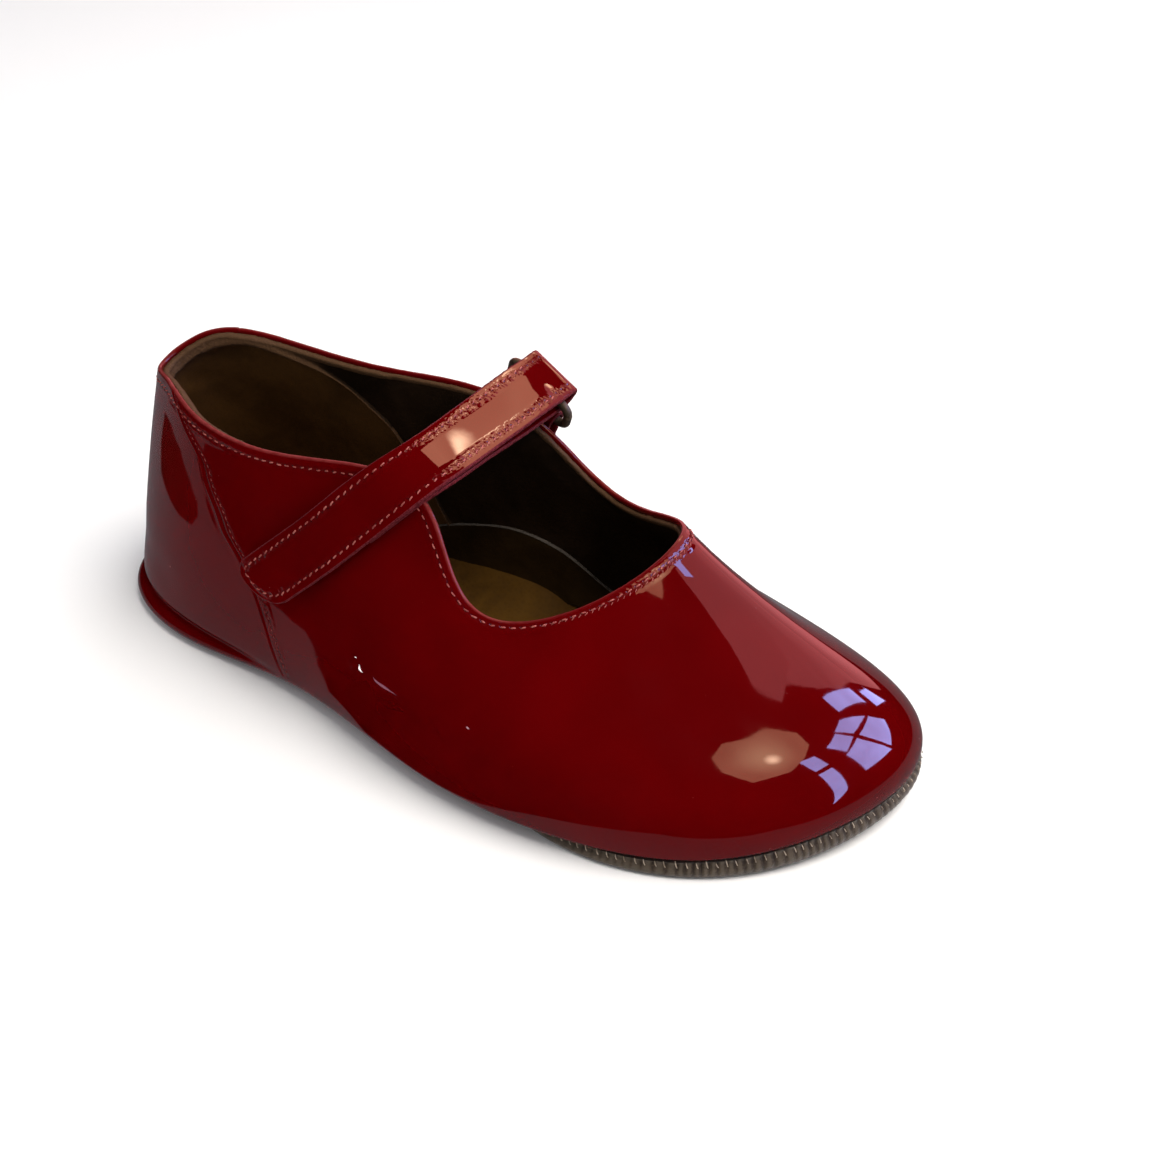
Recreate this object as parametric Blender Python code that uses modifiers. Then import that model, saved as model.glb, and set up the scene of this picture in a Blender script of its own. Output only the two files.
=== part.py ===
"""Child's patent leather mary jane flat with a soft turned sole, right foot.

The shoe stands on the floor Z = 0 with its toe towards +X and its outer side
towards -Y. The origin lies on the floor under the middle of the shoe. Metres.

Places on the shoe are given as fractions of three driving sizes: "along" in
lengths from the heel curve, "across" in ball widths from the heel-to-toe line
(positive on the inner side) and "up" in heel heights from the floor.
"""
import math

import bmesh
import bpy
import numpy as np
from mathutils import Vector, kdtree

# Driving sizes
LENGTH = 0.170
BALL_WIDTH = 0.070
HEEL_HEIGHT = 0.051
MIDDLE_ALONG = 0.4953      # where the middle of the shoe's box lies, in lengths from the heel curve
MIDDLE_ACROSS = 0.071      # and in ball widths outside the heel-to-toe line

# Leather
WALL = 0.0020              # patent leather, interlining and lining together
STRAP_THICKNESS = 0.0010
KEEPER_THICKNESS = 0.0009
SOLE_THICKNESS = 0.0022
INSOLE_THICKNESS = 0.0015
GAP = 0.0003               # left between pieces that touch

# Sole
WAIST_LIFT = 0.0006
WAIST_SPAN = (0.33, 0.57)
TOE_SPRING = 0.0024
SPRING_START = 0.83
SOLE_INSET_HEEL = 0.0036   # the sole's edge lies this far inside the seam line
SOLE_INSET_WAIST = 0.0052
HEEL_SETTLES = 0.30        # lip by which the sole has its full heel shape
WAIST_SETTLES = 0.55       # and roll by which it has its full waist shape
SEAT_SINK = 0.0003         # how far the seat of the insole lies below the plate's top
RIM_WIDTH = 0.0017
INSOLE_INSET = 0.0002      # the insole's edge past the sole's own edge or rim
RIM_CLEARANCE = 0.0015     # and its further step in where the rim stands up beside it,
RIM_CLEARANCE_RATE = 5.0   # reached over this share of the rim's height above the plate

# Strap and ring
STRAP_WIDTH = 0.0115
TIP_CORNER_BACK = 0.0023
TIP_CORNER_FRONT = 0.0090
BASE_START = 0.36          # where the sewn end lies, as a fraction of the strap's path
STACK_ON_WALL = 0.00065    # half the distance between the strap's two layers
STACK_AT_RING = 0.00180
STACK_OPENS = (0.50, 0.93)  # where along the path the layers part, as fractions of it
LEAVES_WALL = 0.68         # where along the path the strap leaves the upper
DRAPE_ALLOWANCE = 0.00014  # extra clearance for the flat facets of strap and wall
WIRE = 0.0017
RING_LENGTH = 0.0168
RING_HEIGHT = 0.0080
RING_CORNER = 0.0022
RING_OUTWARD = 0.80        # how the ring stands: its share outward from the strap's layers
RING_ALONG = -0.30         # and its share along the strap, back towards the foot
KEEPER_WIDTH_TOP = 0.0112
KEEPER_WIDTH_LOW = 0.0150
KEEPER_END_SHARE = 0.72    # width of the rounded lower end, as a share of the width above it
KEEPER_LENGTH = 0.0155
KEEPER_TUCK = 0.0050
KEEPER_STEPS = 7
KEEPER_SETTLES = (0.0010, 0.0068)  # distances below the ring's bar between which it comes down to the wall

# Mesh fineness
COLUMNS = 72               # round the shoe, even
WALL_RISES = (0.0, 0.05, 0.14, 0.26, 0.39, 0.52, 0.65, 0.78, 0.90, 1.0)
LAYER_ROWS = 18            # along the strap's under layer
BAND_POINTS = 5            # across the strap and the keeper
TOP_ROWS = 22              # along the strap's top layer as far as its tip
TIP_START = 0.14           # where the tip's own, closer rows begin, as shares of the path
TIP_SHARES = (0.10, 0.07, 0.045, 0.025, 0.010, 0.002)
CORNER_STEPS = 5           # round a quarter of the ring's corner
WIRE_ROUNDNESS = 2
SHARP_ANGLE = math.radians(40)
WALL_TURNS = 320           # samples of the wall that other leather lies on
WALL_STEPS = 61
EDGE_ANGLES = np.radians(np.arange(20, 181, 20))
TURN_NUDGE = 0.01          # steps that a direction along the seam or the strap is read over
PATH_NUDGE = 0.002
PATH_STEPS = 60            # samples that the strap's length is measured over

SECTION_COLUMNS = (
    "seam_along", "seam_across", "seam_up", "bulge_out", "bulge_up",
    "top_along", "top_across", "top_up", "lean", "drop", "lip", "roll", "swing", "sweep")
# One row for each section, in order round the shoe from the back of the heel
# along the outer side, round the toe and back along the inner side. The seam
# is the upper's lower edge line, the top its collar or throat edge. Bulge and
# lean with drop shape the wall between them. Lip is the heel roll under the
# seam and roll the soft turn-under at the waist, each from 0 to 1.
SECTIONS = (
    # name            seam                  bulge         top                    lean  drop   lip   roll
    ("heel_back",     0.000, 0.018, 0.090,  0.000, 0.28,  0.049, -0.015, 0.978,  0.075, 0.32, 1.00, 0.00),
    ("heel_outer",    0.044, -0.206, 0.090, -0.025, 0.27, 0.101, -0.134, 1.012,  0.065, 0.32, 1.00, 0.00),
    ("heel_side",     0.173, -0.340, 0.085, 0.010, 0.28,  0.178, -0.238, 0.984,  0.055, 0.33, 0.80, 0.20),
    ("waist_back",    0.355, -0.404, 0.080, 0.035, 0.30,  0.295, -0.286, 0.972,  0.060, 0.29, 0.00, 1.00),
    ("waist",         0.525, -0.520, 0.080, 0.050, 0.31,  0.423, -0.274, 1.024,  0.080, 0.22, 0.00, 0.95),
    ("outer_ball",    0.688, -0.564, 0.080, 0.035, 0.25,  0.514, -0.314, 0.948,  0.132, 0.43, 0.00, 0.30),
    ("outer_fore",    0.853, -0.472, 0.090, 0.034, 0.27,  0.582, -0.360, 0.668,  0.102, 0.20, 0.00, 0.00),
    ("toe_outer",     0.962, -0.220, 0.130, 0.040, 0.28,  0.682, -0.198, 0.708,  0.240, 0.21, 0.00, 0.00),
    ("toe",           1.000, 0.062, 0.135,  0.030, 0.25,  0.722, 0.056, 0.820,   0.305, 0.32, 0.00, 0.00),
    ("toe_inner",     0.973, 0.260, 0.130,  0.015, 0.24,  0.668, 0.200, 0.752,   0.210, 0.28, 0.00, 0.00),
    ("inner_fore",    0.885, 0.378, 0.095,  0.022, 0.24,  0.588, 0.284, 0.724,   0.206, 0.27, 0.00, 0.00),
    ("inner_ball",    0.726, 0.420, 0.090,  0.037, 0.29,  0.514, 0.256, 0.932,   0.136, 0.48, 0.00, 0.30),
    ("waist_in",      0.548, 0.332, 0.090,  0.050, 0.30,  0.426, 0.220, 1.052,   0.065, 0.24, 0.00, 0.95),
    ("waist_in_back", 0.362, 0.302, 0.090,  0.050, 0.31,  0.296, 0.228, 1.020,   0.055, 0.29, 0.00, 1.00),
    ("heel_in",       0.163, 0.334, 0.090,  0.045, 0.31,  0.171, 0.208, 1.044,   0.060, 0.32, 0.80, 0.20),
    ("heel_inner",    0.035, 0.240, 0.090,  0.030, 0.30,  0.082, 0.128, 1.064,   0.070, 0.32, 1.00, 0.00),
)
# At the throat's corners the top and the seam run different ways, so there the
# lean swings out from the shoe by a share of itself and the bulge is swept back
# along the seam by a fraction of the length.
THROAT_CORNERS = {
    # name         swing, sweep
    "outer_ball": (1.4, 0.13),
    "outer_fore": (0.7, 0.12),
    "inner_ball": (0.2, -0.03),
}
STRAIGHT = (0.0, 0.0)      # swing and sweep everywhere else

# The upper's turned edge below the seam line, from the seam down: how far out
# and down each fold point lies, in metres, where the edge is tucked at the
# forefoot, rolled under at the waist, or a full lip at the heel.
EDGE_FOLDS = (
    # tuck_out, tuck_down, roll_out, roll_down, lip_out, lip_down
    (-0.0002, 0.0004, -0.0006, 0.0012, 0.0011, 0.0008),
    (-0.0006, 0.0007, -0.0018, 0.0022, 0.0017, 0.0022),
    (-0.0011, 0.0009, -0.0032, 0.0028, 0.0010, 0.0036),
    (-0.0016, 0.0010, -0.0046, 0.0031, -0.0004, 0.0042),
)

# The sole's rim and plate, from the tread's edge up the side and over the rim
# to the seat of the insole: metres inside the sole's edge, share of the rim's
# width and of the side's height, and metres above that.
SOLE_PROFILE = (
    # name          inset    rim  height  lift
    ("tread_edge",  0.0012,  0.0, 0.0,    0.0),
    ("tread_turn",  0.0003,  0.0, 0.0,    0.0007),
    ("side",        -0.0001, 0.0, 0.5,    0.0),
    ("rim_outer",   0.0004,  0.0, 1.0,    0.0),
    ("rim_inner",   0.0006,  1.0, 1.0,    0.0),
    ("seat",        0.0010,  1.0, 0.0,    SOLE_THICKNESS - SEAT_SINK),
)

# The insole from its under face up: metres further in and share of its thickness.
INSOLE_PROFILE = (
    # name         inset   thickness
    ("under_face", 0.0,    0.0),
    ("side",       0.0,    0.7),
    ("upper_face", 0.0005, 1.0),
)

# The strap's path between its two layers, from the rounded free end low on the
# outer side to the ring's outer bar, with the way of the straight line across
# the strap there, from its back edge to its front edge. Over the collar that
# line runs along the collar, so the strap bends about it.
STRAP_PATH = (
    # name            along  across  up     line_x line_y line_z
    ("free_end",      0.293, -0.392, 0.458, 0.66, -0.22, -0.72),
    ("low_side",      0.345, -0.388, 0.618, 0.66, -0.25, -0.71),
    ("side",          0.384, -0.373, 0.734, 0.70, -0.26, -0.66),
    ("high_side",     0.414, -0.354, 0.835, 0.80, -0.22, -0.54),
    ("under_collar",  0.442, -0.330, 0.931, 0.90, -0.15, -0.36),
    ("collar",        0.465, -0.312, 1.005, 0.96, -0.09, -0.20),
    ("on_collar",     0.476, -0.293, 1.050, 0.97, -0.06, -0.12),
    ("over_collar",   0.486, -0.262, 1.061, 0.96, -0.06, -0.20),
    ("instep_outer",  0.491, -0.132, 1.066, 0.94, -0.08, -0.30),
    ("instep",        0.496, 0.000, 1.072,  0.92, -0.11, -0.36),
    ("instep_inner",  0.500, 0.133, 1.078,  0.90, -0.13, -0.42),
    ("ring_bar",      0.505, 0.265, 1.085,  0.88, -0.14, -0.46),
)

# The fold round the ring's outer bar, from the under layer to the top layer:
# distance past the bar and height over it, in metres.
STRAP_FOLD = (
    # name        past    over
    ("under",     0.0012, -0.0018),
    ("out",       0.0026, -0.0010),
    ("rise",      0.0034, 0.0002),
    ("ridge",     0.0033, 0.0018),
    ("back",      0.0018, 0.0020),
)


def place(along, across, up):
    """Metres from fractions of length, ball width and heel height."""
    return np.stack([
        (np.asarray(along) - MIDDLE_ALONG) * LENGTH,
        (np.asarray(across) + MIDDLE_ACROSS) * BALL_WIDTH,
        np.asarray(up) * HEEL_HEIGHT], axis=-1)


def unit(vectors):
    """Vectors scaled to length one along the last axis."""
    vectors = np.asarray(vectors, float)
    return vectors / np.linalg.norm(vectors, axis=-1, keepdims=True)


def smoothstep(low, high, value):
    """0 below low, 1 above high, and a smooth rise between."""
    share = np.clip((value - low) / (high - low), 0.0, 1.0)
    return share * share * (3.0 - 2.0 * share)


def closed_spline(rows, at):
    """Smooth closed curve through the rows, read at row numbers."""
    rows = np.asarray(rows, float)
    count = len(rows)
    identity = np.eye(count)
    meets = (4.0 * identity + np.roll(identity, 1, 0) + np.roll(identity, -1, 0)) / 6.0
    control = np.linalg.solve(meets, rows)
    at = np.asarray(at, float) % count
    cell = np.floor(at).astype(int)
    part = (at - cell).reshape(-1, *[1] * (rows.ndim - 1))
    weights = (
        (1 - part) ** 3 / 6,
        (3 * part ** 3 - 6 * part ** 2 + 4) / 6,
        (-3 * part ** 3 + 3 * part ** 2 + 3 * part + 1) / 6,
        part ** 3 / 6)
    return sum(weight * control[(cell + step - 1) % count] for step, weight in enumerate(weights))


def open_spline(points, columns, at):
    """Natural cubic spline of the columns through the points, read at shares 0..1 of its length."""
    knots = np.concatenate([[0.0], np.cumsum(np.linalg.norm(np.diff(points, axis=0), axis=1))])
    knots /= knots[-1]
    count = len(knots)
    step = np.diff(knots)
    system = np.eye(count)
    slope_change = np.zeros_like(columns)
    for i in range(1, count - 1):
        system[i, i - 1:i + 2] = step[i - 1], 2 * (step[i - 1] + step[i]), step[i]
        ahead = (columns[i + 1] - columns[i]) / step[i]
        behind = (columns[i] - columns[i - 1]) / step[i - 1]
        slope_change[i] = 6 * (ahead - behind)
    bend = np.linalg.solve(system, slope_change)
    at = np.asarray(at, float)
    cell = np.clip(np.searchsorted(knots, at, side="right") - 1, 0, count - 2)
    width = step[cell][:, None]
    right = (at[:, None] - knots[cell][:, None]) / width
    left = 1.0 - right
    return (left * columns[cell] + right * columns[cell + 1]
            + ((left ** 3 - left) * bend[cell] + (right ** 3 - right) * bend[cell + 1]) * width ** 2 / 6)


def section_values(turn):
    """The section table read at row numbers round the shoe, by column name."""
    rows = [row[1:] + THROAT_CORNERS.get(row[0], STRAIGHT) for row in SECTIONS]
    table = closed_spline(rows, turn)
    values = {name: table[:, i] for i, name in enumerate(SECTION_COLUMNS)}
    values["lip"] = np.clip(values["lip"], 0.0, 1.0)
    values["roll"] = np.clip(values["roll"], 0.0, 1.0 - values["lip"])
    return values


def seam_line(turn):
    """Points of the upper's seam line and the level way out of the shoe there."""
    values = section_values(turn)
    seam = place(values["seam_along"], values["seam_across"], values["seam_up"])
    ahead, behind = (section_values(np.asarray(turn) + shift) for shift in (TURN_NUDGE, -TURN_NUDGE))
    course = (place(ahead["seam_along"], ahead["seam_across"], 0 * ahead["seam_up"])
              - place(behind["seam_along"], behind["seam_across"], 0 * behind["seam_up"]))
    out = unit(np.stack([course[:, 1], -course[:, 0], course[:, 2]], axis=-1))
    return seam, out


def upper_wall(turn, rises):
    """Outer face of the upper from the seam (rise 0) to the top edge (rise 1)."""
    values = section_values(turn)
    seam, out = seam_line(turn)
    top = place(values["top_along"], values["top_across"], values["top_up"])
    spread = seam - top
    spread[:, 2] = 0.0
    spread = unit(unit(spread) + out * values["swing"][:, None])
    course = np.stack([-out[:, 1], out[:, 0], out[:, 2]], axis=-1)
    up = np.array([0.0, 0.0, HEEL_HEIGHT])
    lower = seam + out * values["bulge_out"][:, None] * BALL_WIDTH + values["bulge_up"][:, None] * up
    lower -= course * values["sweep"][:, None] * LENGTH
    higher = top + spread * values["lean"][:, None] * BALL_WIDTH - values["drop"][:, None] * up
    rise = np.asarray(rises, float)[None, :, None]
    seam, lower, higher, top = (guide[:, None, :] for guide in (seam, lower, higher, top))
    return ((1 - rise) ** 3 * seam + 3 * (1 - rise) ** 2 * rise * lower
            + 3 * (1 - rise) * rise ** 2 * higher + rise ** 3 * top)


def upper_edge(turn):
    """The turned edge below the seam line, from its hidden end up to just under the seam."""
    values = section_values(turn)
    seam, out = seam_line(turn)
    lip = values["lip"][:, None]
    roll = values["roll"][:, None]
    tuck = 1.0 - lip - roll
    rows = []
    for tuck_out, tuck_down, roll_out, roll_down, lip_out, lip_down in reversed(EDGE_FOLDS):
        reach = tuck * tuck_out + roll * roll_out + lip * lip_out
        fall = tuck * tuck_down + roll * roll_down + lip * lip_down
        rows.append(seam + out * reach - np.array([0.0, 0.0, 1.0]) * fall)
    return np.stack(rows, axis=1)


def ground(x):
    """Height of the sole's under face: level at heel and ball, lifted at waist and toe."""
    along = x / LENGTH + MIDDLE_ALONG
    start, end = WAIST_SPAN
    share = np.clip((along - start) / (end - start), 0.0, 1.0)
    waist = WAIST_LIFT * np.sin(math.pi * share) ** 2
    toe = np.clip((along - SPRING_START) / (1.0 - SPRING_START), 0.0, 1.0)
    return waist + TOE_SPRING * toe ** 2


def add_object(name, verts, faces, collection, material):
    """New mesh object with outward faces, smooth shaded, in the collection."""
    mesh = bpy.data.meshes.new(name)
    mesh.from_pydata([tuple(v) for v in verts], [], faces)
    work = bmesh.new()
    work.from_mesh(mesh)
    bmesh.ops.recalc_face_normals(work, faces=work.faces)
    work.to_mesh(mesh)
    work.free()
    mesh.shade_smooth()
    mesh.set_sharp_from_angle(angle=SHARP_ANGLE)
    piece = bpy.data.objects.new(name, mesh)
    piece.data.materials.append(material)
    collection.objects.link(piece)
    return piece


def grid_faces(rows, columns, closed):
    """Quads of a grid whose vertices are numbered row by row."""
    last = rows if closed else rows - 1
    faces = []
    for i in range(last):
        for j in range(columns - 1):
            a = i * columns + j
            b = ((i + 1) % rows) * columns + j
            faces.append((a, b, b + 1, a + 1))
    return faces


def make_shell(name, grid, closed, thickness, offset, collection, material):
    """Open surface from a grid of points, thickened with Solidify."""
    rows, columns = grid.shape[:2]
    mesh = bpy.data.meshes.new(name)
    mesh.from_pydata([tuple(v) for v in grid.reshape(-1, 3)], [], grid_faces(rows, columns, closed))
    mesh.shade_smooth()
    piece = bpy.data.objects.new(name, mesh)
    piece.data.materials.append(material)
    collection.objects.link(piece)
    solidify = piece.modifiers.new("thickness", "SOLIDIFY")
    solidify.thickness = thickness
    solidify.offset = offset
    return piece


def make_slab(name, rings, collection, material):
    """Closed solid through rings of points round the shoe, capped across from side to side."""
    count = len(rings[0])
    grid = np.stack(rings, axis=1)
    levels = grid.shape[1]
    faces = grid_faces(count, levels, True)
    for level in (0, levels - 1):
        for i in range(count // 2):
            corners = (i, i + 1, count - i - 1, (count - i) % count)
            face = tuple(dict.fromkeys(corner * levels + level for corner in corners))
            faces.append(face)
    return add_object(name, grid.reshape(-1, 3), faces, collection, material)


def make_material(name, color, roughness, metallic=0.0, coat=0.0):
    """Plain Principled material."""
    material = bpy.data.materials.new(name)
    material.use_nodes = True
    shader = material.node_tree.nodes["Principled BSDF"]
    shader.inputs["Base Color"].default_value = (*color, 1.0)
    shader.inputs["Roughness"].default_value = roughness
    shader.inputs["Metallic"].default_value = metallic
    shader.inputs["Coat Weight"].default_value = coat
    material.diffuse_color = (*color, 1.0)
    return material


class Wall:
    """The upper's outer face and rounded top edge, as a target that other leather lies on."""

    def __init__(self):
        turn = np.arange(WALL_TURNS) * len(SECTIONS) / WALL_TURNS
        rises = np.linspace(0, 1, WALL_STEPS)
        points = upper_wall(turn, rises)
        round_shoe = np.roll(points, -1, 0) - np.roll(points, 1, 0)
        up_wall = np.gradient(points, axis=1)
        normals = unit(np.cross(round_shoe, up_wall))
        top_out = normals[:, -1]
        top_up = unit(up_wall[:, -1])
        edge_middle = points[:, -1] - top_out * WALL / 2
        for angle in EDGE_ANGLES:
            way = top_out * math.cos(angle) + top_up * math.sin(angle)
            points = np.concatenate([points, (edge_middle + way * WALL / 2)[:, None]], axis=1)
            normals = np.concatenate([normals, way[:, None]], axis=1)
        self.points = points.reshape(-1, 3)
        self.normals = normals.reshape(-1, 3)
        self.tree = kdtree.KDTree(len(self.points))
        for i, point in enumerate(self.points):
            self.tree.insert(Vector(point), i)
        self.tree.balance()

    def draped(self, points, stand_off):
        """Points pushed out until they stand at least stand_off clear of the wall."""
        moved = np.array(points, float)
        for _ in range(2):
            for point in moved.reshape(-1, 3):
                i = self.tree.find(Vector(point))[1]
                height = (point - self.points[i]) @ self.normals[i]
                if height < stand_off:
                    point += self.normals[i] * (stand_off - height)
        return moved

    def laid(self, points, stand_off, share):
        """Points drawn towards the wall by a share of what brings them to stand_off from it."""
        moved = self.draped(points, stand_off)
        for point in moved.reshape(-1, 3):
            i = self.tree.find(Vector(point))[1]
            height = (point - self.points[i]) @ self.normals[i]
            point += self.normals[i] * (stand_off - height) * share
        return self.draped(moved, stand_off)


def make_upper(collection, material):
    """The upper: one hollow shell with its turned lower edge."""
    turn = np.arange(COLUMNS) * len(SECTIONS) / COLUMNS
    grid = np.concatenate([upper_edge(turn), upper_wall(turn, WALL_RISES)], axis=1)
    return make_shell("upper", grid, True, WALL, -1.0, collection, material)


def sole_edge(turn):
    """The seam line, its way out, and the sole's inset, side height and rim width along it."""
    values = section_values(turn)
    seam, out = seam_line(turn)
    heel = smoothstep(0.0, HEEL_SETTLES, values["lip"])
    waist = smoothstep(0.0, WAIST_SETTLES, values["roll"])
    inset = SOLE_INSET_HEEL * heel * (1 - waist) + SOLE_INSET_WAIST * waist
    tuck_down = EDGE_FOLDS[-1][1]
    roll_down = EDGE_FOLDS[-1][3]
    fall = tuck_down + (roll_down - tuck_down) * values["roll"]
    side = np.maximum(SOLE_THICKNESS, seam[:, 2] - fall - GAP - ground(seam[:, 0]))
    side = side * (1 - heel) + SOLE_THICKNESS * heel
    rim = RIM_WIDTH * (1 - np.maximum(heel, waist))
    return seam, out, inset, side, rim


def make_sole(collection, material):
    """Soft outsole: a thin plate under heel and waist with a raised rim at the forefoot."""
    turn = np.arange(COLUMNS) * len(SECTIONS) / COLUMNS
    seam, out, inset, side, rim = sole_edge(turn)
    rings = []
    for _, further_in, rim_share, height_share, lift in SOLE_PROFILE:
        points = seam - out * (inset + rim * rim_share + further_in)[:, None]
        points[:, 2] = ground(points[:, 0]) + height_share * side + lift
        rings.append(points)
    return make_slab("sole", rings, collection, material)


def make_insole(collection, material):
    """Leather sock that lies on the sole inside the upper."""
    turn = np.arange(COLUMNS) * len(SECTIONS) / COLUMNS
    seam, out, inset, side, rim = sole_edge(turn)
    beside_rim = np.minimum(RIM_CLEARANCE, RIM_CLEARANCE_RATE * (side - SOLE_THICKNESS))
    inset = inset + rim + INSOLE_INSET + beside_rim
    rings = []
    for _, further_in, height_share in INSOLE_PROFILE:
        points = seam - out * (inset + further_in)[:, None]
        points[:, 2] = ground(points[:, 0]) + SOLE_THICKNESS + GAP + INSOLE_THICKNESS * height_share
        rings.append(points)
    return make_slab("insole", rings, collection, material)


def strap_frame(shares):
    """Path points, course, line across and outward way at shares 0..1 of the strap's path.

    The line across is as long as one metre of strap width takes along it.
    """
    points = place(*np.array([row[1:4] for row in STRAP_PATH]).T)
    lines = unit([row[4:7] for row in STRAP_PATH])
    shares = np.asarray(shares, float)
    centre = open_spline(points, points, shares)
    course = unit(open_spline(points, points, np.minimum(shares + PATH_NUDGE, 1.0))
                  - open_spline(points, points, np.maximum(shares - PATH_NUDGE, 0.0)))
    line = unit(open_spline(points, lines, shares))
    square = line - course * (line * course).sum(-1, keepdims=True)
    outward = unit(np.cross(line, course))
    return centre, course, line / np.linalg.norm(square, axis=-1, keepdims=True), outward


def strap_layer(shares, side, edges, wall, stand_off):
    """One layer's middle surface. side is -1 for the under layer, 1 for the top layer."""
    centre, _, line, outward = strap_frame(shares)
    stack = STACK_ON_WALL + (STACK_AT_RING - STACK_ON_WALL) * smoothstep(*STACK_OPENS, shares)
    middle = centre + outward * (side * stack)[:, None]
    across = edges[:, :1] + (edges[:, 1:] - edges[:, :1]) * np.linspace(0, 1, BAND_POINTS)[None, :]
    grid = middle[:, None, :] + line[:, None, :] * across[:, :, None]
    on_wall = shares < LEAVES_WALL
    grid[on_wall] = wall.draped(grid[on_wall], stand_off)
    return grid


def tip_edges(distance):
    """How far the band reaches back and front of its middle at a distance from its rounded end."""
    half = STRAP_WIDTH / 2
    edges = []
    for corner in (TIP_CORNER_BACK, TIP_CORNER_FRONT):
        gap = np.clip(corner - distance, 0.0, corner)
        edges.append(half - corner + np.sqrt(corner ** 2 - gap ** 2))
    return np.stack([-edges[0], edges[1]], axis=-1)


def make_strap(wall, collection, material):
    """The strap: one band from its sewn end over the instep, round the ring and back down."""
    centre, course, line, outward = (part[0] for part in strap_frame([1.0]))
    path = strap_frame(np.linspace(0, 1, PATH_STEPS))[0]
    path_length = np.linalg.norm(np.diff(path, axis=0), axis=1).sum()
    half = STRAP_WIDTH / 2
    under_at = np.linspace(BASE_START, 1.0, LAYER_ROWS)
    plain = np.tile([-half, half], (len(under_at), 1))
    under_clear = GAP + DRAPE_ALLOWANCE + STRAP_THICKNESS / 2
    under = strap_layer(under_at, -1, plain, wall, under_clear)
    fold = []
    for _, past, over in STRAP_FOLD:
        middle = centre + course * past + outward * over
        fold.append(middle + line * np.linspace(-half, half, BAND_POINTS)[:, None])
    top_at = np.concatenate([np.linspace(1.0, TIP_START, TOP_ROWS), TIP_SHARES])
    top_clear = under_clear + STRAP_THICKNESS + GAP
    top = strap_layer(top_at, 1, tip_edges(top_at * path_length), wall, top_clear)
    grid = np.concatenate([under, np.array(fold), top])
    return make_shell("strap", grid, False, STRAP_THICKNESS, 0.0, collection, material)


def ring_frame():
    """Middle of the ring's outer bar, the ring's long way and the way from inner to outer bar."""
    centre, course, line, outward = (part[0] for part in strap_frame([1.0]))
    long_way = unit(line)
    rise = unit(outward * RING_OUTWARD + course * RING_ALONG)
    return centre, long_way, rise


def make_ring(collection, material):
    """Long wire loop that the strap runs through."""
    bar, long_way, rise = ring_frame()
    half_long = (RING_LENGTH - WIRE) / 2
    half_high = (RING_HEIGHT - WIRE) / 2
    middle = bar - rise * half_high
    curve = bpy.data.curves.new("ring", "CURVE")
    curve.dimensions = "3D"
    curve.bevel_depth = WIRE / 2
    curve.bevel_resolution = WIRE_ROUNDNESS
    curve.use_fill_caps = False
    points = []
    for quarter in range(4):
        side_long = (1, -1, -1, 1)[quarter] * (half_long - RING_CORNER)
        side_high = (1, 1, -1, -1)[quarter] * (half_high - RING_CORNER)
        for step in range(CORNER_STEPS + 1):
            angle = math.pi / 2 * (quarter + step / CORNER_STEPS)
            across = side_long + RING_CORNER * math.cos(angle)
            high = side_high + RING_CORNER * math.sin(angle)
            points.append(middle + long_way * across + rise * high)
    spline = curve.splines.new("POLY")
    spline.points.add(len(points) - 1)
    for slot, point in zip(spline.points, points):
        slot.co = (*point, 1.0)
    spline.use_cyclic_u = True
    piece = bpy.data.objects.new("ring", curve)
    piece.data.materials.append(material)
    collection.objects.link(piece)
    return piece


def make_keeper(wall, collection, material):
    """Leather keeper folded over the ring's inner bar and sewn down the inner side."""
    bar, long_way, rise = ring_frame()
    inner_bar = bar - rise * (RING_HEIGHT - WIRE)
    radius = WIRE / 2 + GAP + KEEPER_THICKNESS / 2
    nearest = wall.tree.find(Vector(inner_bar))[1]
    normal = wall.normals[nearest]
    normal = unit(normal - long_way * (normal @ long_way))
    down = unit(np.cross(long_way, normal))
    if down[2] > 0:
        down = -down
    clear = GAP + DRAPE_ALLOWANCE + KEEPER_THICKNESS / 2
    over_tuck = clear + KEEPER_THICKNESS + GAP
    profile = []
    for depth in (KEEPER_TUCK, KEEPER_TUCK / 2):
        profile.append((depth, -radius, KEEPER_WIDTH_TOP, clear))
    for angle in range(0, 181, 30):
        turn = math.radians(angle)
        profile.append((-radius * math.sin(turn), -radius * math.cos(turn), KEEPER_WIDTH_TOP, clear))
    for step in range(1, KEEPER_STEPS + 1):
        share = step / KEEPER_STEPS
        width = KEEPER_WIDTH_TOP + (KEEPER_WIDTH_LOW - KEEPER_WIDTH_TOP) * share
        if step == KEEPER_STEPS:
            width *= KEEPER_END_SHARE
        depth = KEEPER_LENGTH * share
        past_tuck = depth > KEEPER_TUCK + KEEPER_THICKNESS
        profile.append((depth, radius, width, clear if past_tuck else over_tuck))
    rows = []
    for depth, off, width, stand_off in profile:
        middle = inner_bar + down * depth + normal * off
        row = middle + long_way * (np.linspace(-0.5, 0.5, BAND_POINTS) * width)[:, None]
        share = smoothstep(*KEEPER_SETTLES, depth)
        rows.append(wall.laid(row, stand_off, share))
    return make_shell("ring_keeper", np.array(rows), False, KEEPER_THICKNESS, 0.0, collection, material)


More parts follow.
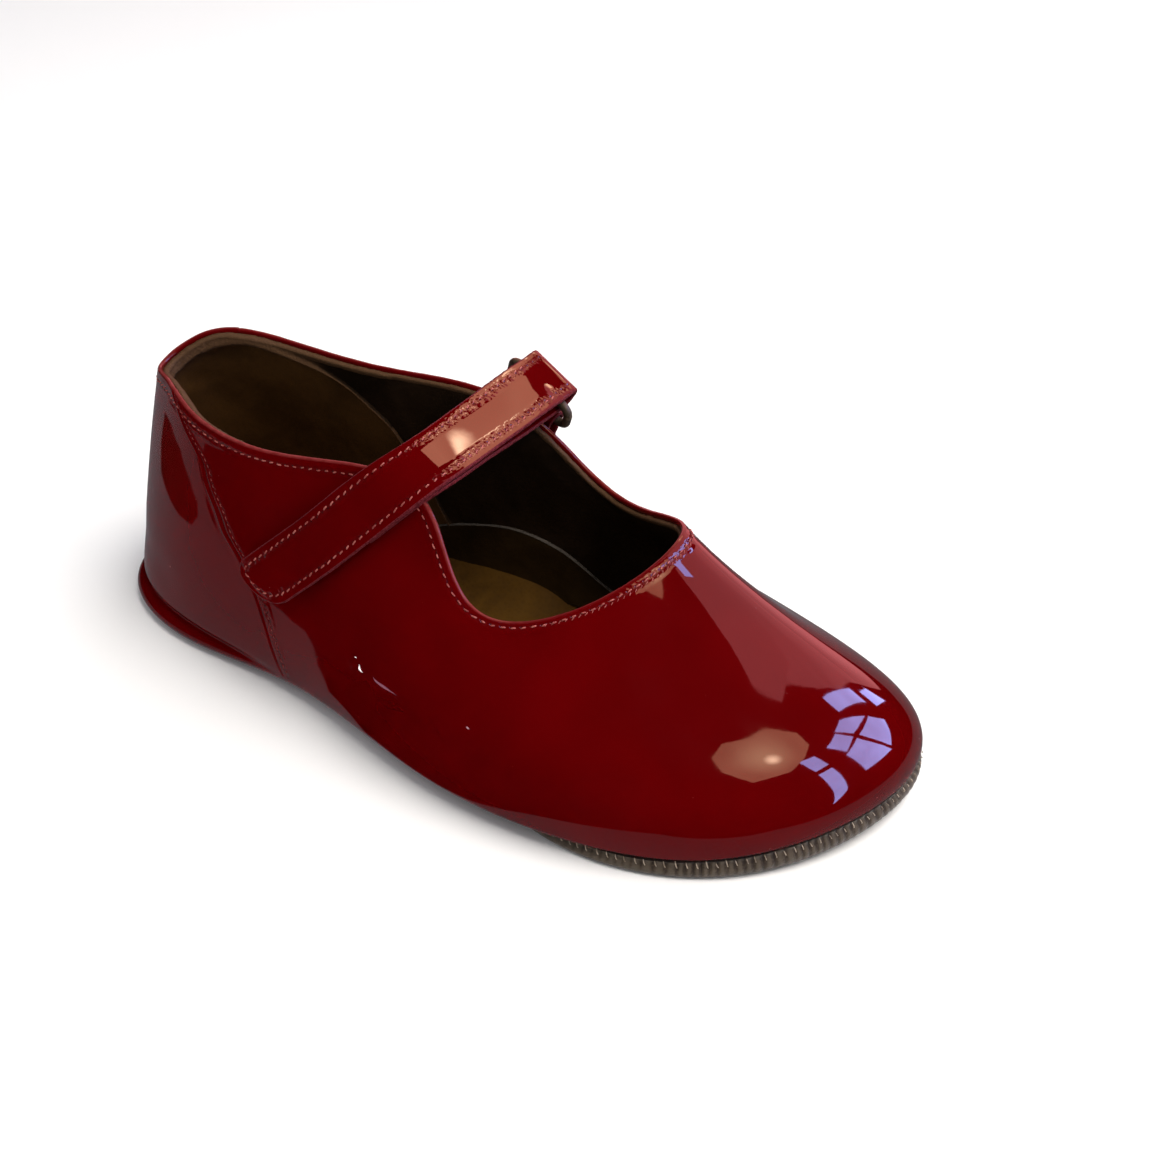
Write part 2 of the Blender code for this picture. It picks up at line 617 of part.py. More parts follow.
def main():
    """Build every piece of the shoe."""
    for leftover in list(bpy.data.objects):
        bpy.data.objects.remove(leftover, do_unlink=True)
    collection = bpy.data.collections.new("mary_jane_flat")
    bpy.context.scene.collection.children.link(collection)
    patent = make_material("red_patent_leather", (0.13, 0.002, 0.006), 0.12, coat=1.0)
    suede = make_material("taupe_suede", (0.11, 0.085, 0.065), 0.95)
    lining = make_material("olive_lining_leather", (0.075, 0.055, 0.022), 0.7)
    brass = make_material("aged_brass", (0.16, 0.13, 0.08), 0.4, metallic=1.0)
    wall = Wall()
    make_upper(collection, patent)
    make_sole(collection, suede)
    make_insole(collection, lining)
    make_strap(wall, collection, patent)
    make_ring(collection, brass)
    make_keeper(wall, collection, patent)


main()
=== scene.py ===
"""Looks of the child's patent leather mary jane flat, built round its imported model.

Places on the shoe are given as in the model's source: "turn" counts the
sections round the shoe from the back of the heel along the outer side, round
the toe and back along the inner side (0 to 16), "rise" goes from the seam at
the sole (0) to the top edge (1), and "depth" is metres below the top edge.
"""
import math

import bmesh
import bpy
import numpy as np
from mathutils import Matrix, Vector, kdtree, noise


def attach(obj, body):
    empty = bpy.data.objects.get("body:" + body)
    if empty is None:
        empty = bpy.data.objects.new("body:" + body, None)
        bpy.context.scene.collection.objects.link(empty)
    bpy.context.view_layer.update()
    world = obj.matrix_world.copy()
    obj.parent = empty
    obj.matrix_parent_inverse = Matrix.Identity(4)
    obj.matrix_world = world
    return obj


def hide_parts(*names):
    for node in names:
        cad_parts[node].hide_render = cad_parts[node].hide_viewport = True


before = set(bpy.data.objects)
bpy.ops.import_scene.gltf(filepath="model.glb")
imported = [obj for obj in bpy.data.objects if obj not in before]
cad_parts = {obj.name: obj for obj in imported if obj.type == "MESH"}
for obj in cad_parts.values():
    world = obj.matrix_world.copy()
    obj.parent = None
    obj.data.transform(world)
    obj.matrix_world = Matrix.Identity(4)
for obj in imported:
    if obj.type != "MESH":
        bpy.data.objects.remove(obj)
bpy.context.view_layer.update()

MM = 0.001

# Driving sizes, as in the model's source
LENGTH = 0.170
BALL_WIDTH = 0.070
HEEL_HEIGHT = 0.051
MIDDLE_ALONG = 0.4953
MIDDLE_ACROSS = 0.071
WALL = 0.0020
STRAP_THICKNESS = 0.0010
KEEPER_THICKNESS = 0.0009
SOLE_THICKNESS = 0.0022
INSOLE_THICKNESS = 0.0015
GAP = 0.0003

WAIST_LIFT = 0.0006
WAIST_SPAN = (0.33, 0.57)
TOE_SPRING = 0.0024
SPRING_START = 0.83
SOLE_INSET_HEEL = 0.0036
SOLE_INSET_WAIST = 0.0052
RIM_WIDTH = 0.0017
PLEAT_PITCH = 0.0016
PLEAT_DEPTH = 0.00045
SIDE_BULGE = 0.0010
RIM_STITCH_SPAN = (4.62, 11.4)   # turns between which the rim is stitched
RIM_STITCH_PITCH = 0.0017
RIM_STITCH_RADIUS = 0.00010
INSOLE_MARGIN = 0.0014     # how far the insole stays inside the seam, beside a share of the rim
INSOLE_ROUNDING = 0.0012
CUP_REACH = 0.009          # the insole's inner edge rises at the waist: how wide, how high,
CUP_HEIGHT = 0.0064        # how far it leans out, and how far its under face is drawn in
CUP_LEAN = 0.0015
UNDER_TAPER = 0.12

STRAP_WIDTH = 0.0115
TIP_CORNER_BACK = 0.0023
TIP_CORNER_FRONT = 0.0090
BASE_START = 0.36
STACK_ON_WALL = 0.00065
STACK_AT_RING = 0.00180
STACK_OPENS = (0.66, 0.97)
LEAVES_WALL = 0.68
DRAPE_ALLOWANCE = 0.00014
UNDER_ROWS = 18            # rows of the strap's under layer and of its top layer
TOP_ROWS = 26
SMOOTHING_PASSES = 20      # over the strap's lift off the wall, then over the strap itself
LOOSENING_PASSES = 5
EDGE_ANGLES = (60, 30, 0, -30, -60)   # rows of a leather band's rounded edge
WIRE = 0.0017
RING_LENGTH = 0.0168
RING_HEIGHT = 0.0080
RING_CORNER = 0.0022
RING_OUTWARD = 0.80
RING_ALONG = -0.30
KEEPER_WIDTH_TOP = 0.0112
KEEPER_WIDTH_LOW = 0.0150
KEEPER_LENGTH = 0.0155
KEEPER_TUCK = 0.0050
KEEPER_SETTLES = (0.0010, 0.0068)
KEEPER_CORNER = 0.0042
KEEPER_FULLNESS = 0.75     # how far its lower corners are rounded in
KEEPER_ROW_INSET = 0.0014
INSIDE_SHOE = (0.0, 0.0, 0.02)

SECTION_COLUMNS = (
    "seam_along", "seam_across", "seam_up", "bulge_out", "bulge_up",
    "top_along", "top_across", "top_up", "lean", "drop", "lip", "roll", "swing", "sweep")
SECTIONS = (
    # name            seam                  bulge         top                    lean  drop   lip   roll
    ("heel_back",     0.000, 0.018, 0.090,  0.000, 0.28,  0.049, -0.015, 0.978,  0.075, 0.32, 1.00, 0.00),
    ("heel_outer",    0.044, -0.206, 0.090, -0.025, 0.27, 0.101, -0.134, 1.012,  0.065, 0.32, 1.00, 0.00),
    ("heel_side",     0.173, -0.340, 0.085, 0.010, 0.28,  0.178, -0.238, 0.984,  0.055, 0.33, 0.80, 0.20),
    ("waist_back",    0.355, -0.404, 0.080, 0.035, 0.30,  0.295, -0.286, 0.972,  0.060, 0.29, 0.00, 1.00),
    ("waist",         0.525, -0.520, 0.080, 0.050, 0.31,  0.423, -0.274, 1.024,  0.080, 0.22, 0.00, 0.95),
    ("outer_ball",    0.688, -0.564, 0.080, 0.035, 0.25,  0.514, -0.314, 0.948,  0.132, 0.43, 0.00, 0.30),
    ("outer_fore",    0.853, -0.472, 0.090, 0.034, 0.27,  0.582, -0.360, 0.668,  0.102, 0.20, 0.00, 0.00),
    ("toe_outer",     0.962, -0.220, 0.130, 0.040, 0.28,  0.682, -0.198, 0.708,  0.240, 0.21, 0.00, 0.00),
    ("toe",           1.000, 0.062, 0.135,  0.030, 0.25,  0.722, 0.056, 0.820,   0.305, 0.32, 0.00, 0.00),
    ("toe_inner",     0.973, 0.260, 0.130,  0.015, 0.24,  0.668, 0.200, 0.752,   0.210, 0.28, 0.00, 0.00),
    ("inner_fore",    0.885, 0.378, 0.095,  0.022, 0.24,  0.588, 0.284, 0.724,   0.206, 0.27, 0.00, 0.00),
    ("inner_ball",    0.726, 0.420, 0.090,  0.037, 0.29,  0.514, 0.256, 0.932,   0.136, 0.48, 0.00, 0.30),
    ("waist_in",      0.548, 0.332, 0.090,  0.050, 0.30,  0.426, 0.220, 1.052,   0.065, 0.24, 0.00, 0.95),
    ("waist_in_back", 0.362, 0.302, 0.090,  0.050, 0.31,  0.296, 0.228, 1.020,   0.055, 0.29, 0.00, 1.00),
    ("heel_in",       0.163, 0.334, 0.090,  0.045, 0.31,  0.171, 0.208, 1.044,   0.060, 0.32, 0.80, 0.20),
    ("heel_inner",    0.035, 0.240, 0.090,  0.030, 0.30,  0.082, 0.128, 1.064,   0.070, 0.32, 1.00, 0.00),
)
# At the throat's corners the top and the seam run different ways, so there the
# lean swings out from the shoe by a share of itself and the bulge is swept back
# along the seam by a fraction of the length.
THROAT_CORNERS = {
    # name         swing, sweep
    "outer_ball": (1.4, 0.13),
    "outer_fore": (0.7, 0.12),
    "inner_ball": (0.2, -0.03),
}
STRAIGHT = (0.0, 0.0)      # swing and sweep everywhere else
TURNS = len(SECTIONS)

# The turned edge below the seam, from the seam down: metres out and down.
EDGE_FOLDS = (
    # tuck_out, tuck_down, roll_out, roll_down, lip_out, lip_down
    (-0.0002, 0.0004, -0.0006, 0.0012, 0.0011, 0.0008),
    (-0.0006, 0.0007, -0.0018, 0.0022, 0.0017, 0.0022),
    (-0.0011, 0.0009, -0.0032, 0.0028, 0.0010, 0.0036),
    (-0.0016, 0.0010, -0.0046, 0.0031, -0.0004, 0.0042),
)

# The strap's path between its two layers and the straight line across it.
STRAP_PATH = (
    # name            along  across  up     line_x line_y line_z
    ("free_end",      0.293, -0.392, 0.458, 0.66, -0.22, -0.72),
    ("low_side",      0.345, -0.388, 0.618, 0.66, -0.25, -0.71),
    ("side",          0.384, -0.373, 0.734, 0.70, -0.26, -0.66),
    ("high_side",     0.414, -0.354, 0.835, 0.80, -0.22, -0.54),
    ("under_collar",  0.442, -0.330, 0.931, 0.90, -0.15, -0.36),
    ("collar",        0.465, -0.312, 1.005, 0.96, -0.09, -0.20),
    ("on_collar",     0.476, -0.293, 1.050, 0.97, -0.06, -0.12),
    ("over_collar",   0.486, -0.262, 1.061, 0.96, -0.06, -0.20),
    ("instep_outer",  0.491, -0.132, 1.066, 0.94, -0.08, -0.30),
    ("instep",        0.496, 0.000, 1.072,  0.92, -0.11, -0.36),
    ("instep_inner",  0.500, 0.133, 1.078,  0.90, -0.13, -0.42),
    ("ring_bar",      0.505, 0.265, 1.085,  0.88, -0.14, -0.46),
)
STRAP_FOLD = (
    # name        past    over
    ("under",     0.0012, -0.0018),
    ("out",       0.0026, -0.0010),
    ("rise",      0.0034, 0.0002),
    ("ridge",     0.0033, 0.0018),
    ("back",      0.0018, 0.0020),
)

# Leather layers of the upper, inward from its outer face
SKIN = 0.0011              # patent leather, folded over the top edge
LINING_FACE = WALL         # where the lining's inner face lies
LINING_START = 0.0011      # depth of the quarter lining's cut edge under the folded leather
BAND_THICKNESS = 0.0007    # the quarter lining laid over the heel lining
LAP_START = 12.8           # edge turns between which it is laid over the heel lining
LAP_END = 19.2
HEEL_LINING_SPAN = 3.3     # turns that the heel lining reaches on each side of the back
HEEL_LINING_START = 0.0012   # depth of the heel lining's cut edge
WING_START = 0.02          # rise at which the arch wing starts
WING_GAP = 0.0001
WING_THICKNESS = 0.0008
HEEL_CREASE = -0.00075     # the crease where the wall meets the sole's lip
SKIN_SPACING = 0.00085     # width of the patent leather's grid, and beside the panel's seams
SEAM_SPACING = 0.00020
LOW_BAND = 0.004           # height of the finer rows above the seam line
EDGE_BAND = 0.0050         # the band along the top edge in which depth is measured square to it
STITCH_PITCH = 0.00178
THREAD_TAPER = 0.55        # thickness of a stitch at its ends
STITCH_ROWS = {
    # piece                 pitch         length  radius   swing
    "edge_stitches":        (STITCH_PITCH, 0.0010, 0.00014, 0.08),
    "throat_stitches":      (0.0012,       0.0006, 0.00010, 0.7),
    "panel_stitches_outer": (0.0013,       0.0007, 0.00007, 0.0),
    "panel_stitches_inner": (0.0013,       0.0007, 0.00007, 0.0),
    "strap_stitches":       (STITCH_PITCH, 0.0011, 0.00016, 0.25),
    "keeper_stitches":      (STITCH_PITCH, 0.0012, 0.00018, 0.0),
}
# How far the stitch row lies below the top edge, round the shoe.
EDGE_ROW = (
    # turn, millimetres
    (0.0, 2.2), (2.0, 2.1), (4.0, 2.0), (5.0, 1.8), (5.6, 1.5), (6.2, 1.2), (6.8, 1.2), (7.6, 1.6),
    (8.4, 2.3), (9.2, 2.7), (10.0, 2.6), (11.0, 2.2), (12.5, 2.1), (14.0, 2.2), (16.0, 2.2))
STRAP_ROW_INSET = 0.0016
SECOND_ROW = (6.5, 8.4)    # turns between which a finer row runs below the first at the throat
SECOND_ROW_OFF = 0.0006

# The seam between the heel panel and the quarter, from the top edge down, on
# the outer side. The inner side has the same seam the other way round.
PANEL_SEAM = (
    # rise, turn
    (1.00, 1.30), (0.91, 1.90), (0.87, 2.10), (0.79, 2.22), (0.73, 2.30), (0.67, 2.38), (0.60, 2.45),
    (0.55, 2.53), (0.50, 2.60), (0.375, 2.70), (0.21, 2.76), (0.12, 2.78), (0.00, 2.82))
SEAM_MIDDLE = 2.30         # turn of the grid line that is bent to follow that seam
SEAM_REACH = 2.2           # turns on each side over which the grid bends back
SEAM_SLANT = 0.8           # distance square to the slanting seam for each metre round the shoe
PANEL_ROW_OFF = 0.0013     # how far its stitch row lies from the seam
FAR = 0.02                 # metres from a stitch row, where there is none near

# Where the heel lining meets the quarter lining on the inner side: the place on
# the top edge, and the place on the boundary that lies below it.
LINING_BOUNDARY = (
    # edge_turn, turn, depth
    (12.80, 12.78, 0.0420), (12.92, 12.90, 0.0370), (13.02, 12.94, 0.0290), (13.14, 13.00, 0.0190),
    (13.26, 13.04, 0.0138), (13.38, 13.13, 0.0106), (13.52, 13.27, 0.0070), (13.68, 13.46, 0.0044),
    (13.86, 13.72, 0.0031), (14.10, 14.04, 0.0025), (14.50, 14.48, 0.0022), (14.90, 14.90, 0.0029),
    (15.30, 15.30, 0.0026), (16.00, 16.00, 0.0032))

# The soft piece along the inner waist that stands up beside the insole.
ARCH_WING = (
    # turn, rise of its top
    (11.45, 0.06), (11.62, 0.085), (11.80, 0.150), (11.95, 0.240), (12.14, 0.300), (12.38, 0.322),
    (12.64, 0.305), (12.90, 0.262), (13.20, 0.170))

# Soft troughs (negative) and ridges pressed into the patent leather by wear.
CREASES = (
    # name              turn_a rise_a turn_b rise_b  height_mm width_mm
    ("side_pinch",      3.58,  0.280, 3.80,  0.350,  -0.18, 1.3),
    ("pinch_ridge",     3.64,  0.330, 3.84,  0.395,  0.10, 1.3),
    ("side_fold",       3.80,  0.250, 4.44,  0.295,  0.30, 2.0),
    ("under_fold",      3.90,  0.205, 4.50,  0.245,  -0.20, 2.4),
    ("ball_dimple",     4.66,  0.288, 4.72,  0.276,  -0.22, 0.8),
    ("ball_flex",       5.05,  0.230, 5.60,  0.330,  -0.10, 4.0),
    ("inner_flex",      10.6,  0.300, 11.2,  0.200,  -0.30, 3.0),
    ("inner_flex_low",  11.2,  0.360, 11.8,  0.220,  -0.25, 3.0),
    ("inner_pinch",     12.0,  0.330, 12.4,  0.400,  -0.25, 1.6),
    ("heel_slump",      0.50,  0.240, 1.60,  0.200,  -0.20, 4.0),
    ("heel_slump_in",   15.4,  0.220, 14.3,  0.260,  -0.25, 4.0),
    ("toe_dust_a",      6.47,  0.515, 6.49,  0.512,  0.05, 0.35),
    ("toe_dust_b",      6.29,  0.365, 6.31,  0.362,  0.05, 0.35),
)

# The camera
CAMERA_EYE = (0.1284, -0.1998, 0.1823)
CAMERA_TARGET = (0.0085, 0.0050, 0.0185)
CAMERA_LENS = 46.59
CAMERA_SHIFT = (0.0487, 0.0200)

# Finishes
RED = (0.097, 0.0003, 0.0009)
LININGS = (
    # name                     dark                    light                   raw edge               grain
    ("heel_lining_leather",    (0.078, 0.035, 0.008),  (0.125, 0.057, 0.014),  (0.10, 0.05, 0.02),    0.0006),
    ("quarter_lining_leather", (0.013, 0.0065, 0.002), (0.026, 0.013, 0.005),  (0.10, 0.050, 0.022),  0.0006),
    ("insole_leather",         (0.060, 0.026, 0.003),  (0.098, 0.045, 0.005),  (0.20, 0.14, 0.06),    0.0009),
    ("arch_leather",           (0.018, 0.009, 0.002),  (0.036, 0.019, 0.005),  (0.13, 0.11, 0.09),    0.0006),
)


# ---------------------------------------------------------------- the last's forms

def place(along, across, up):
    """Metres from fractions of length, ball width and heel height."""
    return np.stack([
        (np.asarray(along) - MIDDLE_ALONG) * LENGTH,
        (np.asarray(across) + MIDDLE_ACROSS) * BALL_WIDTH,
        np.asarray(up) * HEEL_HEIGHT], axis=-1)


def unit(vectors):
    """Vectors scaled to length one along the last axis."""
    vectors = np.asarray(vectors, float)
    return vectors / np.linalg.norm(vectors, axis=-1, keepdims=True)


def smoothstep(low, high, value):
    """0 at low, 1 at high, and a smooth rise between, also where low is the greater."""
    share = np.clip((value - low) / (high - low), 0.0, 1.0)
    return share * share * (3.0 - 2.0 * share)


def bell(value, width):
    """1 where the value is 0, falling softly to nothing over a few widths."""
    return np.exp(-(value / width) ** 2)


def closed_spline(rows, at):
    """Smooth closed curve through the rows, read at row numbers."""
    rows = np.asarray(rows, float)
    count = len(rows)
    identity = np.eye(count)
    meets = (4.0 * identity + np.roll(identity, 1, 0) + np.roll(identity, -1, 0)) / 6.0
    control = np.linalg.solve(meets, rows)
    at = np.asarray(at, float) % count
    cell = np.floor(at).astype(int)
    part = (at - cell).reshape(-1, *[1] * (rows.ndim - 1))
    weights = (
        (1 - part) ** 3 / 6,
        (3 * part ** 3 - 6 * part ** 2 + 4) / 6,
        (-3 * part ** 3 + 3 * part ** 2 + 3 * part + 1) / 6,
        part ** 3 / 6)
    return sum(weight * control[(cell + step - 1) % count] for step, weight in enumerate(weights))


def natural_spline(knots, columns, at):
    """Natural cubic spline of the columns over rising knots, read at the given places."""
    knots = np.asarray(knots, float)
    columns = np.asarray(columns, float)
    count = len(knots)
    step = np.diff(knots)
    system = np.eye(count)
    slope_change = np.zeros_like(columns)
    for i in range(1, count - 1):
        system[i, i - 1:i + 2] = step[i - 1], 2 * (step[i - 1] + step[i]), step[i]
        ahead = (columns[i + 1] - columns[i]) / step[i]
        behind = (columns[i] - columns[i - 1]) / step[i - 1]
        slope_change[i] = 6 * (ahead - behind)
    bend = np.linalg.solve(system, slope_change)
    at = np.asarray(at, float)
    cell = np.clip(np.searchsorted(knots, at, side="right") - 1, 0, count - 2)
    width = step[cell][:, None]
    right = (at[:, None] - knots[cell][:, None]) / width
    left = 1.0 - right
    return (left * columns[cell] + right * columns[cell + 1]
            + ((left ** 3 - left) * bend[cell] + (right ** 3 - right) * bend[cell + 1]) * width ** 2 / 6)


def chord_knots(points):
    """Distances along a row of points."""
    return np.concatenate([[0.0], np.cumsum(np.linalg.norm(np.diff(points, axis=0), axis=1))])


def section_values(turn):
    """The section table read at row numbers round the shoe, by column name."""
    rows = [row[1:] + THROAT_CORNERS.get(row[0], STRAIGHT) for row in SECTIONS]
    table = closed_spline(rows, turn)
    values = {name: table[:, i] for i, name in enumerate(SECTION_COLUMNS)}
    values["lip"] = np.clip(values["lip"], 0.0, 1.0)
    values["roll"] = np.clip(values["roll"], 0.0, 1.0 - values["lip"])
    return values


def seam_line(turn):
    """Points of the upper's seam line and the level way out of the shoe there."""
    values = section_values(turn)
    seam = place(values["seam_along"], values["seam_across"], values["seam_up"])
    ahead, behind = (section_values(np.asarray(turn) + shift) for shift in (0.01, -0.01))
    course = (place(ahead["seam_along"], ahead["seam_across"], 0 * ahead["seam_up"])
              - place(behind["seam_along"], behind["seam_across"], 0 * behind["seam_up"]))
    out = unit(np.stack([course[:, 1], -course[:, 0], course[:, 2]], axis=-1))
    return seam, out


def wall_at(turn, rise):
    """Points of the upper's outer face at places round the shoe and shares of the rise."""
    turn, rise = np.broadcast_arrays(turn, rise)
    shape = turn.shape
    turn, rise = turn.ravel(), rise.ravel()[:, None]
    values = section_values(turn)
    seam, out = seam_line(turn)
    top = place(values["top_along"], values["top_across"], values["top_up"])
    spread = seam - top
    spread[:, 2] = 0.0
    spread = unit(unit(spread) + out * values["swing"][:, None])
    course = np.stack([-out[:, 1], out[:, 0], out[:, 2]], axis=-1)
    up = np.array([0.0, 0.0, HEEL_HEIGHT])
    lower = seam + out * values["bulge_out"][:, None] * BALL_WIDTH + values["bulge_up"][:, None] * up
    lower -= course * values["sweep"][:, None] * LENGTH
    higher = top + spread * values["lean"][:, None] * BALL_WIDTH - values["drop"][:, None] * up
    points = ((1 - rise) ** 3 * seam + 3 * (1 - rise) ** 2 * rise * lower
              + 3 * (1 - rise) * rise ** 2 * higher + rise ** 3 * top)
    return points.reshape(*shape, 3)


def wall_frame(turn, rise):
    """Points of the outer face, outward normals, and the ways round the shoe and up the wall."""
    nudge = 0.004
    turn, rise = np.broadcast_arrays(turn, rise)
    round_shoe = (wall_at(turn + nudge, rise) - wall_at(turn - nudge, rise)) / (2 * nudge)
    up_wall = (wall_at(turn, rise + nudge) - wall_at(turn, rise - nudge)) / (2 * nudge)
    return wall_at(turn, rise), unit(np.cross(round_shoe, up_wall)), round_shoe, up_wall


def edge_row(turn):
    """Depth of the stitch row along the top edge."""
    rows = np.array(EDGE_ROW)
    return np.interp(np.asarray(turn, float) % TURNS, rows[:, 0], rows[:, 1]) * MM


def square_band(turn, steps):
    """Rises at even distances square below the top edge, read at the given turns."""
    reach = (turn[1] - turn[0]) * 40
    at = np.arange(-reach, TURNS + reach, turn[1] - turn[0])
    rise = np.ones(len(at))
    _, normal, round_shoe, _ = wall_frame(at, rise)
    square = np.cross(round_shoe, normal)
    stride = EDGE_BAND / steps
    rises = [np.ones(len(turn))]
    for _ in range(steps):
        _, normal, round_shoe, up_wall = wall_frame(at, rise)
        way = unit(square - normal * (square * normal).sum(-1, keepdims=True))
        a, b, c = ((u * v).sum(-1) for u, v in (
            (round_shoe, round_shoe), (round_shoe, up_wall), (up_wall, up_wall)))
        p, q = (round_shoe * way).sum(-1), (up_wall * way).sum(-1)
        at = at + stride * (c * p - b * q) / (a * c - b * b)
        rise = rise + stride * (a * q - b * p) / (a * c - b * b)
        rises.append(np.interp(turn, at, rise))
    return np.stack(rises, axis=1)


class Depths:
    """Turns depth below the top edge into rise and back, all round the shoe.

    Near the edge the depth is the distance square to it, further down it grows
    with the length of the wall's own lines from the edge to the seam.
    """

    def __init__(self):
        self.turn = np.linspace(0, TURNS, 641)
        self.rise_steps = np.linspace(0, 1, 241)
        points = wall_at(self.turn[:, None], self.rise_steps[None, :])
        length = np.linalg.norm(np.diff(points, axis=1), axis=2)
        above = np.cumsum(length[:, ::-1], axis=1)[:, ::-1]
        lines = np.concatenate([above, np.zeros((len(self.turn), 1))], axis=1)
        band = square_band(self.turn, 20)
        distance = np.linspace(0, EDGE_BAND, band.shape[1])
        table = []
        for line, rises in zip(lines, band):
            reach = np.interp(rises, self.rise_steps, line)
            near = np.interp(line, reach, distance)
            table.append(np.where(line > reach[-1], line - reach[-1] + EDGE_BAND, near))
        self.table = np.array(table)
        self.lengths = self.table[:, 0]
        shares = np.linspace(0, 1, 321)
        self.inverse = np.array([
            np.interp(shares, row[::-1] / row[0], self.rise_steps[::-1]) for row in self.table])

    def look_up(self, table, turn, share):
        """Bilinear reading of a table by turn and by a share from 0 to 1."""
        turn, share = np.broadcast_arrays(np.asarray(turn, float) % TURNS, share)
        row = turn / TURNS * (len(self.turn) - 1)
        column = np.clip(share, 0.0, 1.0) * (table.shape[1] - 1)
        i = np.minimum(row.astype(int), len(self.turn) - 2)
        j = np.minimum(column.astype(int), table.shape[1] - 2)
        u, v = row - i, column - j
        return ((1 - u) * (1 - v) * table[i, j] + u * (1 - v) * table[i + 1, j]
                + (1 - u) * v * table[i, j + 1] + u * v * table[i + 1, j + 1])

    def length(self, turn):
        """Length of the wall from its top edge to the seam."""
        return np.interp(np.asarray(turn, float) % TURNS, self.turn, self.lengths)

    def rise(self, turn, depth):
        """The rise that lies at this depth."""
        return self.look_up(self.inverse, turn, depth / self.length(turn))

    def depth(self, turn, rise):
        """The depth of this rise."""
        return self.look_up(self.table, turn, rise)


def ground(x):
    """Height of the sole's under face: level at heel and ball, lifted at waist and toe."""
    along = x / LENGTH + MIDDLE_ALONG
    start, end = WAIST_SPAN
    share = np.clip((along - start) / (end - start), 0.0, 1.0)
    waist = WAIST_LIFT * np.sin(math.pi * share) ** 2
    toe = np.clip((along - SPRING_START) / (1.0 - SPRING_START), 0.0, 1.0)
    return waist + TOE_SPRING * toe ** 2


def catmull_rom(controls, at):
    """Curves through rows of control points (rows, places, 3), read at row numbers."""
    controls = np.asarray(controls)
    last = len(controls) - 1
    rows = []
    for value in at:
        i = min(int(value), last - 1)
        t = value - i
        a, b, c, d = (controls[min(max(i + step, 0), last)] for step in (-1, 0, 1, 2))
        rows.append(0.5 * (2 * b + (c - a) * t + (2 * a - 5 * b + 4 * c - d) * t ** 2
                           + (3 * b - a - 3 * c + d) * t ** 3))
    return np.stack(rows)


def sole_edge(turn):
    """The seam line, its way out, and the sole's inset, side height and rim width along it."""
    values = section_values(turn)
    seam, out = seam_line(turn)
    heel = smoothstep(0.0, 0.3, values["lip"])
    waist = smoothstep(0.0, 0.55, values["roll"])
    inset = SOLE_INSET_HEEL * heel * (1 - waist) + SOLE_INSET_WAIST * waist
    tuck_down = EDGE_FOLDS[-1][1]
    roll_down = EDGE_FOLDS[-1][3]
    fall = tuck_down + (roll_down - tuck_down) * values["roll"]
    side = np.maximum(SOLE_THICKNESS, seam[:, 2] - fall - GAP - ground(seam[:, 0]))
    side = side * (1 - heel) + SOLE_THICKNESS * heel
    rim_share = 1 - np.maximum(heel, waist)
    return seam, out, inset, side, rim_share


# ---------------------------------------------------------------- meshes

def grid_faces(rows, columns, wrap_rows, wrap_columns):
    """Quads of a grid whose points are numbered row by row."""
    i = np.arange(rows if wrap_rows else rows - 1)[:, None]
    j = np.arange(columns if wrap_columns else columns - 1)[None, :]
    next_i, next_j = (i + 1) % rows, (j + 1) % columns
    corners = (i * columns + j, next_i * columns + j, next_i * columns + next_j, i * columns + next_j)
    return np.stack([np.broadcast_to(c, (i.size, j.size)) for c in corners], axis=-1).reshape(-1, 4)


def mesh_object(name, points, faces, material):
    """A new mesh object of one material in the scene."""
    mesh = bpy.data.meshes.new(name)
    mesh.from_pydata(np.asarray(points).reshape(-1, 3).tolist(), [], [list(face) for face in faces])
    mesh.materials.append(material)
    thing = bpy.data.objects.new(name, mesh)
    bpy.context.scene.collection.objects.link(thing)
    return thing


def add_piece(name, points, faces, material, slot, stands_for=(), marks=None, sharp=None):
    """A mesh object of the shoe, its faces turned outward, riding on the shoe's one body."""
    piece = mesh_object(name, points, faces, material)
    mesh = piece.data
    work = bmesh.new()
    work.from_mesh(mesh)
    bmesh.ops.recalc_face_normals(work, faces=work.faces)
    work.to_mesh(mesh)
    work.free()
    for mark, values in (marks or {}).items():
        layer = mesh.attributes.new(mark, "FLOAT", "POINT")
        layer.data.foreach_set("value", np.asarray(values, np.float32).ravel())
    mesh.shade_smooth()
    if sharp is not None:
        mesh.set_sharp_from_angle(angle=math.radians(sharp))
    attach(piece, "root")
    for node in stands_for:
        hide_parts(node)


def add_grid(name, grid, material, slot, wrap_rows=False, **options):
    """A closed solid from a grid (rows, columns, 3) whose columns run round its cross-section."""
    rows, columns = grid.shape[:2]
    faces = [tuple(face) for face in grid_faces(rows, columns, wrap_rows, True).tolist()]
    if not wrap_rows:
        faces.append(tuple(range(columns)))
        faces.append(tuple((rows - 1) * columns + j for j in range(columns)))
    add_piece(name, grid, faces, material, slot, **options)


def add_tubes(name, centres, sides, ups, radius, material, slot, ring_points=6):
    """Many short rods joined in one mesh: centres (count, rings, 3), with their side and up ways."""
    count, rings = centres.shape[:2]
    angle = np.arange(ring_points) * 2 * math.pi / ring_points
    girth = np.full(rings, radius)
    girth[[0, -1]] *= THREAD_TAPER
    circle = (np.cos(angle)[:, None] * sides[:, :, None, :] + np.sin(angle)[:, None] * ups[:, :, None, :])
    points = centres[:, :, None, :] + circle * girth[None, :, None, None]
    one = grid_faces(rings, ring_points, False, True)
    size = rings * ring_points
    faces = []
    for i in range(count):
        faces.extend((one + i * size).tolist())
        faces.append(list(range(i * size, i * size + ring_points)))
        faces.append(list(range(i * size + size - ring_points, (i + 1) * size)))
    add_piece(name, points, faces, material, slot)


